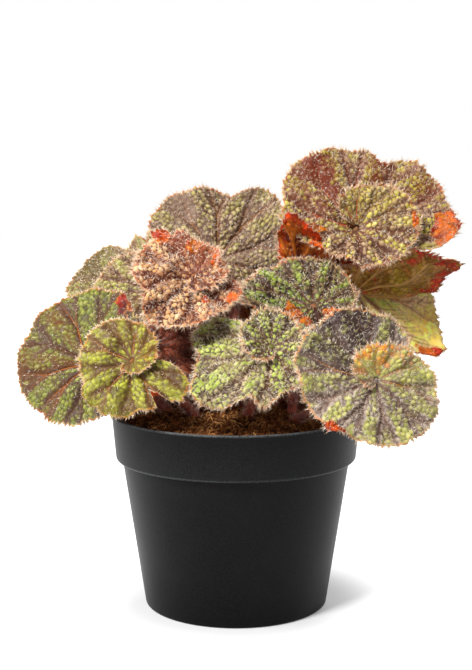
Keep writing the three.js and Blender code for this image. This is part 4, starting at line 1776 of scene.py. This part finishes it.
@dataclass
class Rhizome:
    """The creeping stem with its scars, half sunk in the mix."""

    radius: float = 5.0
    line: tuple[Place, ...] = ((-12, 2, 93), (2, 6, 95), (16, 8, 94))
    beyond: float = 0.16  # share of the curve that it goes on past the end points
    scars: float = 0.07  # height of the scars, as a share of the radius
    hair_length: float = 3.0
    hair_density: float = 1.2

    def build(self, skin: Finish, fur: Finish) -> tuple[Piece, Piece]:
        """Makes the rhizome: a tube along a curve through three points, ringed by leaf scars.

        Args:
            skin: Material of the stem.
            fur: Material of its hairs.

        Returns:
            The stem and its hairs.
        """
        a, b, c = (np.array(p, float) for p in self.line)
        t = np.linspace(-self.beyond, 1 + self.beyond, 60)[:, None]
        line = a * (1 - t) * (1 - 2 * t) + b * 4 * t * (1 - t) + c * t * (2 * t - 1)
        share = t[:, 0]
        ends = np.sqrt(np.clip(1 - (np.maximum(np.abs(share - 0.5) - 0.5, 0.0) / 0.165) ** 2, 0.01, 1))
        radius = self.radius * ends * (1 + self.scars * np.sin(share * 40.0))
        shape, rings, out = tube(line, radius, 24)
        stem = shape.to_object("rhizome_stem", skin)
        coat = HairCoat(self.hair_length, width=0.2, spread=0.6, seed=77)
        hairs = coat.over(rings, out, self.hair_density, out * 0.0)
        return stem, hairs.to_object("rhizome_hairs", fur, smooth=False)


# ---------------------------------------------------------------------------- the leaves' plans


def tinted(look: BladeLook, **changes: tuple[int, int, int] | float) -> BladeLook:
    """A look with some things changed.

    Args:
        look: The look to start from.
        **changes: Numbers, and colours as they look on a screen, by the fields' names.

    Returns:
        The new look.
    """
    painted = {name: paint(*value) for name, value in changes.items() if isinstance(value, tuple)}
    return replace(look, **{**changes, **painted})


OLIVE = BladeLook()
FAR_LEFT = tinted(
    OLIVE, hairs=0.14, hair_length=1.2, cover=0.74, band_width=2.6, beads=0.65, worn=0.4,
    bump=(140, 144, 48), bump_other=(102, 109, 38), dull=(98, 81, 57), pale=(178, 176, 112),
    net=(46, 29, 24), net_other=(78, 57, 46), vein=(206, 116, 36), band=(80, 42, 32),
    stain=(100, 58, 22), under=(150, 40, 22), under_other=(84, 26, 16),
)
FRONT_LEFT = tinted(
    OLIVE, hairs=0.16, hair_length=1.3, cover=0.74, beads=0.55, worn=0.4,
    bump=(179, 179, 53), bump_other=(133, 131, 39), dull=(122, 102, 53), pale=(194, 192, 108),
    net=(62, 40, 20), net_other=(98, 74, 40), vein=(206, 132, 46), rim=(206, 132, 56),
)
BACK_LEFT = tinted(
    OLIVE, hairs=0.4, cover=0.6, beads=0.9,
    bump=(172, 169, 77), bump_other=(133, 132, 60), dull=(180, 151, 111), net=(82, 56, 36),
    net_other=(133, 103, 71), stain=(92, 76, 40),
)
PINK = tinted(
    OLIVE, hairs=0.6, hair_length=2.0, cover=0.62,
    bump=(238, 198, 140), bump_other=(206, 154, 96), dull=(198, 142, 98), pale=(248, 226, 186),
    net=(84, 38, 24), net_other=(138, 78, 50), crease=(54, 16, 10), vein=(176, 96, 56),
    band=(96, 46, 34), stain=(120, 56, 34), rim=(196, 92, 40), rim_other=(232, 188, 144),
    glow=(206, 84, 30), under=(224, 92, 12), under_other=(160, 40, 18), hair=(252, 238, 220),
)
FAN = tinted(
    OLIVE, hairs=0.4, cover=0.5,
    bump=(184, 170, 88), bump_other=(140, 127, 66), dull=(174, 148, 116), net=(70, 47, 34),
    net_other=(131, 103, 78), vein=(206, 142, 72), stain=(126, 100, 84),
)
TOP = tinted(
    OLIVE, hairs=0.42, hair_length=1.7, cover=0.55,
    bump=(204, 190, 65), bump_other=(152, 138, 50), dull=(172, 138, 103), pale=(236, 222, 158),
    net=(84, 48, 34), net_other=(132, 94, 69), vein=(220, 88, 24), stain=(108, 44, 20),
    rim=(176, 84, 46), glow=(206, 184, 66), under=(200, 84, 0), under_other=(130, 26, 2),
)
# The lower side's colours are lightened past the leaf's own orange-red as painted light shining through the
# thin leaf.
RED = tinted(
    OLIVE, hairs=0.3,
    under=(238, 70, 40), under_other=(176, 128, 40), under_glow=(222, 196, 50),
    under_vein=(250, 196, 110), under_dark=(92, 34, 10), hair=(232, 190, 160),
)
FLAME = tinted(
    RED,
    under=(222, 70, 8), under_other=(112, 34, 6), under_glow=(226, 78, 4), under_vein=(232, 130, 30),
    under_rim=(150, 30, 8),
)
# Colours lightened past the leaf's own olive as painted light, because the leaf sits in the shade of the
# red leaf.
OLIVE_RIGHT = tinted(
    OLIVE, hairs=0.12, cover=0.74, beads=0.6,
    bump=(230, 236, 100), bump_other=(190, 194, 84), dull=(250, 208, 156), net=(168, 120, 80),
    net_other=(238, 190, 130), stain=(176, 78, 40), rim=(206, 110, 50), glow=(244, 190, 60),
    under=(196, 50, 26), under_other=(126, 24, 16),
)
DARK_GREEN = tinted(
    OLIVE, hairs=0.4, cover=0.66,
    bump=(152, 168, 56), bump_other=(95, 112, 34), dull=(135, 113, 75), pale=(196, 202, 116),
    net=(40, 28, 22), net_other=(87, 71, 48), crease=(34, 22, 16), under_other=(150, 58, 8),
)
LIME = tinted(
    OLIVE, hairs=0.6, hair_length=1.9, cover=0.76,
    bump=(194, 206, 92), bump_other=(146, 160, 58), dull=(202, 184, 142), net=(74, 56, 40),
    net_other=(134, 114, 84), crease=(44, 28, 20), stain=(62, 62, 28),
)
# Its dark patch on the front right leaf's upper part is partly the leaf's brown-purple and partly painted
# shade.
GREY = tinted(
    OLIVE, hairs=0.42, cover=0.62, beads=0.6, worn=0.4,
    bump=(190, 188, 92), bump_other=(144, 145, 74), dull=(180, 164, 148), net=(84, 64, 60),
    net_other=(140, 120, 112), vein=(210, 142, 64), stain=(60, 42, 38), rim=(206, 126, 66),
    glow=(226, 140, 12),
)
SHADE = tinted(
    OLIVE, hairs=0.5,
    bump=(140, 74, 44), bump_other=(120, 56, 34), dull=(134, 62, 42), pale=(160, 92, 60),
    net=(86, 32, 20), net_other=(106, 44, 28), crease=(50, 18, 10), hair=(190, 124, 98),
    hair_other=(130, 64, 44),
)

# Where a fan goes on past a whole turn, so do the directions in its plan.
LEAVES = (
    LeafPlan(
        "leaf_far_left", joint=(-68, -19, 120), face=(-28, 27), start=108, turn=348, hand=1,
        rays=(33, 36, 38, 42, 41, 33, 30, 27, 23),
        cleft=145, lift=2.5, cup=(-4, -4), wave=1.8, waves=3, phase=60, root=(-26, -3), bow=22,
        look=FAR_LEFT,
        strong=(288, 324, 216), crumple=1.4, pucker=0.9, jagged=1.3,
        stains=(Stain(278, 14, 1.2), Stain(232, 10, 0.9), Stain(325, 8, 0.7)),
        rolls=(Stain(157, 10, 1.3, 36, 9),),
    ),
    LeafPlan(
        "leaf_front_left", joint=(-46, -43, 124), face=(-12, 26), start=-60, turn=516, hand=1,
        rays=(6, 6, 7, 9, 12, 15, 18, 23, 25, 24, 27, 24, 30, 22),
        cleft=402, lift=7, cup=(-3, -3), wave=1.6, waves=3, phase=20, root=(-15, -15), bow=18,
        look=FRONT_LEFT,
        strong=(36, 108, 180, 252, 324, 396), crumple=1.4, pucker=0.9, jagged=1.3,
        curls=(Curl(312, 15, 1.0, 160, 3), Curl(400, 9, 0.8, 160, 0)),
        glows=(Stain(60, 100, 0.3),),
    ),
    LeafPlan(
        "leaf_back_left", joint=(-43, 12, 150), face=(-22, 34), start=96, turn=552, hand=1,
        rays=(8, 12, 16, 22, 25, 26, 22, 17, 25, 21, 16, 20, 34, 45, 47),
        cleft=575, lift=7, cup=(-4, -4), wave=2, waves=4, phase=0, root=(-21, 14), bow=20, look=BACK_LEFT,
        strong=(540,), crumple=1.8, jagged=1.5,
        stains=(Stain(606, 22, 1.6, 38, 14), Stain(520, 30, 0.6)),
    ),
    LeafPlan(
        "leaf_young_pink", joint=(-19, -22, 160), face=(-6, 36), start=-24, turn=468, hand=1,
        rays=(8, 11, 14, 16, 15, 15, 22, 28, 27, 31, 29, 24, 27),
        cleft=300, lift=8, cup=(5, 3), wave=3, waves=4, phase=30, root=(-20, -5), bow=16, look=PINK,
        strong=(252,), crumple=3.2, pucker=1.4, jagged=1.7,
        curls=(Curl(221, 12, 1.0, 30, 5), Curl(105, 22, 0.7, 70, 2), Curl(30, 14, 0.9, 80, 1)),
        stains=(Stain(150, 60, 1.3, 9, 12), Stain(203, 16, 1.2, 20, 9), Stain(430, 30, 0.8)),
        glows=(Stain(110, 30, 0.6, 14, 5), Stain(160, 20, 0.5, 16, 4)),
        rolls=(Stain(219, 10, 1.2, 26, 5), Stain(183, 14, 1.2, 13, 3.5), Stain(112, 16, 1.2, 13, 4),
               Stain(417, 9, 1.1, 22, 3), Stain(386, 8, 0.9, 16, 2)),
    ),
    LeafPlan(
        "leaf_back_fan", joint=(-9, 34, 165), face=(4, 14), start=12, turn=336, hand=1,
        rays=(25, 29, 31, 44, 36, 40, 37, 30, 25),
        cleft=168, lift=2, cup=(-3, 3), wave=2, waves=4, phase=80, root=(-13, 18), bow=18, look=FAN,
        strong=(180, 144, 216), crumple=1.6, pucker=1.2, jagged=1.2,
        stains=(Stain(212, 16, 1.1), Stain(96, 18, 0.8), Stain(150, 12, 0.5)),
    ),
    LeafPlan(
        "leaf_top_right", joint=(57, 2, 180), face=(4, 34), start=252, turn=552, hand=-1,
        rays=(8, 14, 19, 26, 30, 27, 24, 20, 21, 34, 42, 41, 48, 47, 38),
        cleft=-203, lift=11, cup=(6, 2), wave=2.2, waves=3, phase=200, root=(21, 21), bow=24, look=TOP,
        strong=(-144, -180, -108), crumple=1.8, jagged=1.4,
        curls=(Curl(-277, 13, 1.0, 40, 5), Curl(-76, 28, 1.0, 12, 4.5), Curl(-118, 34, 1.0, 0, 2.2)),
        stains=(Stain(-151, 12, 1.6), Stain(-203, 7, 1.5), Stain(-238, 9, 0.8), Stain(-125, 12, 0.6),
                Stain(-185, 70, 0.2)),
        glows=(Stain(180, 70, 0.45, 14, 12),),
        rolls=(Stain(-273, 13, 1.4, 46, 10), Stain(-84, 6, 1.5, 21, 5), Stain(-62, 8, 1.4, 23, 3.5),
               Stain(90, 14, 1.0, 27, 2)),
    ),
    LeafPlan(
        "leaf_red_left", joint=(29, 1, 165), face=(168, 46), start=96, turn=192, hand=1,
        rays=(8, 9, 12, 20, 32, 20, 17, 19, 29, 25),
        cleft=0, lift=1, cup=(2, 2), wave=1.5, waves=5, phase=10, root=(27, -6), bow=8, look=FLAME,
        strong=(180, 216), crumple=2.6, jagged=2.2,
        curls=(Curl(209, 22, 1.0, 0, 4),),
    ),
    LeafPlan(
        "leaf_red_right", joint=(57, 3, 151), face=(178, 45), start=84, turn=204, hand=1,
        rays=(16, 18, 20, 18, 16, 15, 16, 16, 18, 20, 23, 30, 38, 43, 53, 42, 42, 30),
        cleft=0, lift=1, cup=(3, 3), wave=2, waves=5, phase=10, root=(25, 4), bow=10, look=RED,
        strong=(252, 216), crumple=2.6, jagged=2.4,
    ),
    LeafPlan(
        "leaf_right_olive", joint=(59, 12, 151), face=(20, 30), start=-24, turn=324, hand=1,
        rays=(19, 21, 26, 38, 49, 46, 42, 34, 22, 14, 9, 9, 9, 9, 10, 11, 13, 15, 18),
        cleft=400, lift=2, cup=(-4, -5), wave=2.2, waves=3, phase=0, root=(29, 9), bow=14, look=OLIVE_RIGHT,
        strong=(36, 72), crumple=1.6, pucker=0.9, jagged=1.6,
        curls=(Curl(46, 10, 1.0, 0, 3),),
        stains=(Stain(70, 10, 0.6, 47, 8),),
        glows=(Stain(58, 16, 0.9, 40, 9),),
        rolls=(Stain(40, 8, 1.2, 49, 9),),
    ),
    LeafPlan(
        "leaf_middle_green", joint=(36, -22, 147), face=(2, 50), start=24, turn=336, hand=1,
        rays=(20, 16, 21, 24, 27, 31, 34, 30, 24),
        cleft=282, lift=2, cup=(4, 3), wave=2.4, waves=4, phase=120, root=(8, -6), bow=14, look=DARK_GREEN,
        crumple=1.9, jagged=1.4,
        curls=(Curl(348, 14, 0.9, 60, 2), Curl(38, 16, 0.85, 60, 2)),
        rolls=(Stain(310, 42, 1.5, 12, 4.5), Stain(48, 24, 1.4, 10, 4.5)),
    ),
    LeafPlan(
        "leaf_front_middle", joint=(16, -44, 130), face=(-10, 34), start=36, turn=528, hand=-1,
        rays=(7, 8, 10, 12, 16, 18, 16, 15, 19, 24, 29, 41, 37, 29),
        cleft=-378, lift=8, cup=(-3, -3), wave=2, waves=4, phase=300, root=(3, -17), bow=16, look=LIME,
        crumple=1.8, jagged=1.3,
        curls=(Curl(-472, 18, 1.0, 0, 3.5), Curl(-436, 20, 1.0, 0, -4)),
        stains=(Stain(-130, 90, 0.5, 14, 12), Stain(-474, 18, 0.4)),
    ),
    LeafPlan(
        "leaf_front_right", joint=(61, -54, 117), face=(14, 28), start=-24, turn=576, hand=-1,
        rays=(5, 8, 12, 14, 15, 20, 26, 31, 31, 30, 34, 37, 36, 32, 27),
        cleft=-396, lift=8, cup=(-3, -3), wave=1.8, waves=4, phase=100, root=(21, -17), bow=16, look=GREY,
        strong=(-108, -252, -288), crumple=1.9, pucker=1.2, jagged=1.3,
        curls=(Curl(-400, 20, 1.0, 30, 5),),
        stains=(Stain(-515, 56, 1.4), Stain(-330, 30, 0.6, 10, 12)),
        glows=(Stain(-170, 75, 1.5, 10, 12), Stain(-262, 26, 0.6, 22, 10)),
        rolls=(Stain(-404, 13, 1.4, 34, 5),),
    ),
    LeafPlan(
        "leaf_left_shade", joint=(-38, -13, 128), face=(-8, 46), start=168, turn=348, hand=-1,
        rays=(14, 15, 23, 17, 21, 21, 20, 17, 14),
        cleft=0, lift=2, cup=(-4, -4), wave=1.8, waves=3, phase=40, root=(-21, 4), bow=12, look=SHADE,
        curls=(Curl(84, 72, 1.0, 0, 8),),
    ),
    LeafPlan(
        "leaf_rear_left", joint=(-51, 54, 128), face=(-132, 38), start=192, turn=348, hand=1,
        rays=(26, 29, 32, 35, 37, 35, 32, 29, 26),
        cleft=420, lift=2, cup=(-6, -5), wave=2.4, waves=4, phase=0, root=(-16, 26), bow=16, look=BACK_LEFT,
    ),
    LeafPlan(
        "leaf_rear_middle", joint=(0, 62, 146), face=(176, 36), start=-36, turn=480, hand=1,
        rays=(9, 13, 17, 21, 24, 26, 28, 30, 33, 34, 33, 30, 27),
        cleft=360, lift=7, cup=(-4, -3), wave=2.4, waves=4, phase=50, root=(-3, 28), bow=16, look=LIME,
    ),
    LeafPlan(
        "leaf_rear_right", joint=(42, 54, 156), face=(140, 36), start=168, turn=348, hand=-1,
        rays=(26, 29, 33, 36, 37, 35, 33, 30, 26),
        cleft=-40, lift=2, cup=(-6, -5), wave=2.4, waves=4, phase=90, root=(10, 32), bow=16, look=GREY,
    ),
    LeafPlan(
        "leaf_side_left", joint=(-66, 24, 112), face=(-96, 34), start=192, turn=348, hand=1,
        rays=(21, 24, 27, 29, 30, 29, 27, 24, 21),
        cleft=320, lift=2, cup=(-5, -5), wave=2, waves=4, phase=20, root=(-29, 16), bow=14, look=FAR_LEFT,
    ),
    LeafPlan(
        "leaf_side_right", joint=(74, 18, 112), face=(92, 34), start=-48, turn=480, hand=-1,
        rays=(8, 11, 14, 17, 20, 22, 24, 26, 28, 30, 30, 27, 24),
        cleft=-340, lift=6, cup=(-4, -3), wave=2, waves=4, phase=70, root=(31, 20), bow=14, look=OLIVE,
    ),
    LeafPlan(
        "leaf_low_rear", joint=(2, 75, 108), face=(172, 30), start=168, turn=348, hand=-1,
        rays=(20, 23, 26, 28, 29, 28, 26, 23, 20),
        cleft=-10, lift=2, cup=(-5, -5), wave=2, waves=4, phase=10, root=(4, 38), bow=14, look=SHADE,
    ),
)


class Slot(Enum):
    """The record's material slots."""

    POT = "pot_plastic"
    MIX = "potting_mix"
    STALK = "stalk_skin"
    BLADE = "leaf_blade"
    YOUNG = "young_leaf"
    RED = "leaf_underside"


def slot_of(plan: LeafPlan) -> Slot:
    """The slot of a blade: young, red or plain."""
    if plan.look is PINK:
        return Slot.YOUNG
    return Slot.RED if plan.look in (RED, FLAME) else Slot.BLADE


# ---------------------------------------------------------------------------- studio


@dataclass
class Studio:
    """Paper, soft lights and the camera of the portrait."""

    distance: float = 650.0
    eye_height: float = 216.0
    pitch: float = math.degrees(0.1297)
    focal: float = 1361.0  # in pixels of a picture 670 high
    picture: tuple[int, int] = (472, 670)
    sensor: float = 36.0
    clip: float = 0.01  # metres
    paper_radius: float = 3000.0
    paper_sides: int = 64

    def camera(self) -> None:
        """Sets the camera in front of the pot, looking a little down."""
        data = bpy.data.cameras.new("portrait")
        data.sensor_width = self.sensor
        data.lens = self.focal * self.sensor / max(self.picture)
        data.clip_start = self.clip
        eye = bpy.data.objects.new("portrait", data)
        eye.location = (0.0, -self.distance * MM, self.eye_height * MM)
        eye.rotation_euler = (math.radians(90.0 - self.pitch), 0.0, 0.0)
        bpy.context.scene.collection.objects.link(eye)
        bpy.context.scene.camera = eye

    def lamp(self, name: str, place: Place, aim: Place, size: float, power: float) -> None:
        """Hangs one soft lamp.

        Args:
            name: Its name.
            place: Where it hangs, in metres.
            aim: The point that it looks at.
            size: Width of its face.
            power: Watts.
        """
        data = bpy.data.lights.new(name, "AREA")
        data.energy, data.size = power, size
        lamp = bpy.data.objects.new(name, data)
        back = unit(np.array(place) - np.array(aim))
        right = unit(np.cross([0.0, 0.0, 1.0], back))
        turn = Matrix(np.stack([right, np.cross(back, right), back]).T.tolist())
        lamp.matrix_world = Matrix.Translation(place) @ turn.to_4x4()
        bpy.context.scene.collection.objects.link(lamp)

    def paper(self) -> None:
        """The paper: a level round sheet that casts no light on the plant by itself."""
        angle = around(self.paper_sides)
        points = self.paper_radius * np.stack([np.cos(angle), np.sin(angle), 0.0 * angle], -1)
        sheet = Shape(points, [np.arange(self.paper_sides)[None]])
        paper = sheet.to_object("paper_floor", StudioPaper().skin())
        paper.visible_diffuse = False

    def sky(self) -> None:
        """The room: white to the eye, and for light bright overhead and dim at the sides."""
        world = bpy.data.worlds.new("studio_room")
        tree = Tree(world, "Background")
        way = tree.add("ShaderNodeTexCoord", {}, {}, "Generated")
        up = tree.add("ShaderNodeSeparateXYZ", {}, {0: way}, "Z")
        light = tree.mix(up.rise(-0.1, 0.9), (0.07, 0.07, 0.07), (0.28, 0.28, 0.28))
        seen = tree.add("ShaderNodeLightPath", {}, {}, "Is Camera Ray")
        bpy.context.scene.world = tree.finish(Color=tree.mix(seen, light, (1.0, 1.0, 1.0)), Strength=1.0)

    def build(self) -> None:
        """Sets up paper, lamps, sky and camera."""
        self.paper()
        self.sky()
        self.lamp("key_lamp", (-0.65, -0.9, 1.25), (0.0, 0.0, 0.12), 0.36, 36.0)
        self.lamp("left_lamp", (-1.2, -0.25, 0.4), (0.0, 0.0, 0.1), 0.6, 8.0)
        self.lamp("right_lamp", (1.2, -0.25, 0.45), (0.0, 0.0, 0.1), 0.6, 2.3)
        self.lamp("low_lamp", (0.1, -0.9, 0.03), (0.0, 0.0, 0.16), 0.7, 2.0)
        self.lamp("back_lamp", (0.3, 0.8, 1.0), (0.0, 0.0, 0.15), 0.5, 7.0)
        bpy.context.scene.view_settings.view_transform = "Standard"
        self.camera()


# ---------------------------------------------------------------------------- putting it together


def dress(piece: Piece, slot: Slot, *nodes: str) -> None:
    """Puts a piece on the root body and hides the nodes that it stands for.

    Args:
        piece: The piece.
        slot: Its material slot. It is not used.
        *nodes: Nodes that it replaces.
    """
    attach(piece, "root")
    if nodes:
        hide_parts(*nodes)
    log.info("%s: %d faces", piece.name, len(piece.data.polygons))


def main() -> None:
    """Builds the plant, its pot and the studio."""
    dress(NurseryPot(PotPlastic()).build(), Slot.POT, "pot")
    dress(PottingMix(CoirMix()).build(), Slot.MIX, "soil")
    finish = StalkSkin()
    skin, fur = finish.skin(), finish.fur()
    stem, down = Rhizome().build(skin, fur)
    dress(stem, Slot.STALK, "rhizome")
    dress(down, Slot.STALK)
    for plan in LEAVES:
        rod, coat = Stalk(plan).build(skin, fur)
        dress(rod, Slot.STALK, plan.name.replace("leaf", "stalk", 1))
        dress(coat, Slot.STALK)
        blade, hairs = Blade(plan).build()
        dress(blade, slot_of(plan), plan.name)
        dress(hairs, slot_of(plan))
    Studio().build()
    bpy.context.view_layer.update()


if __name__ == "__main__":
    main()
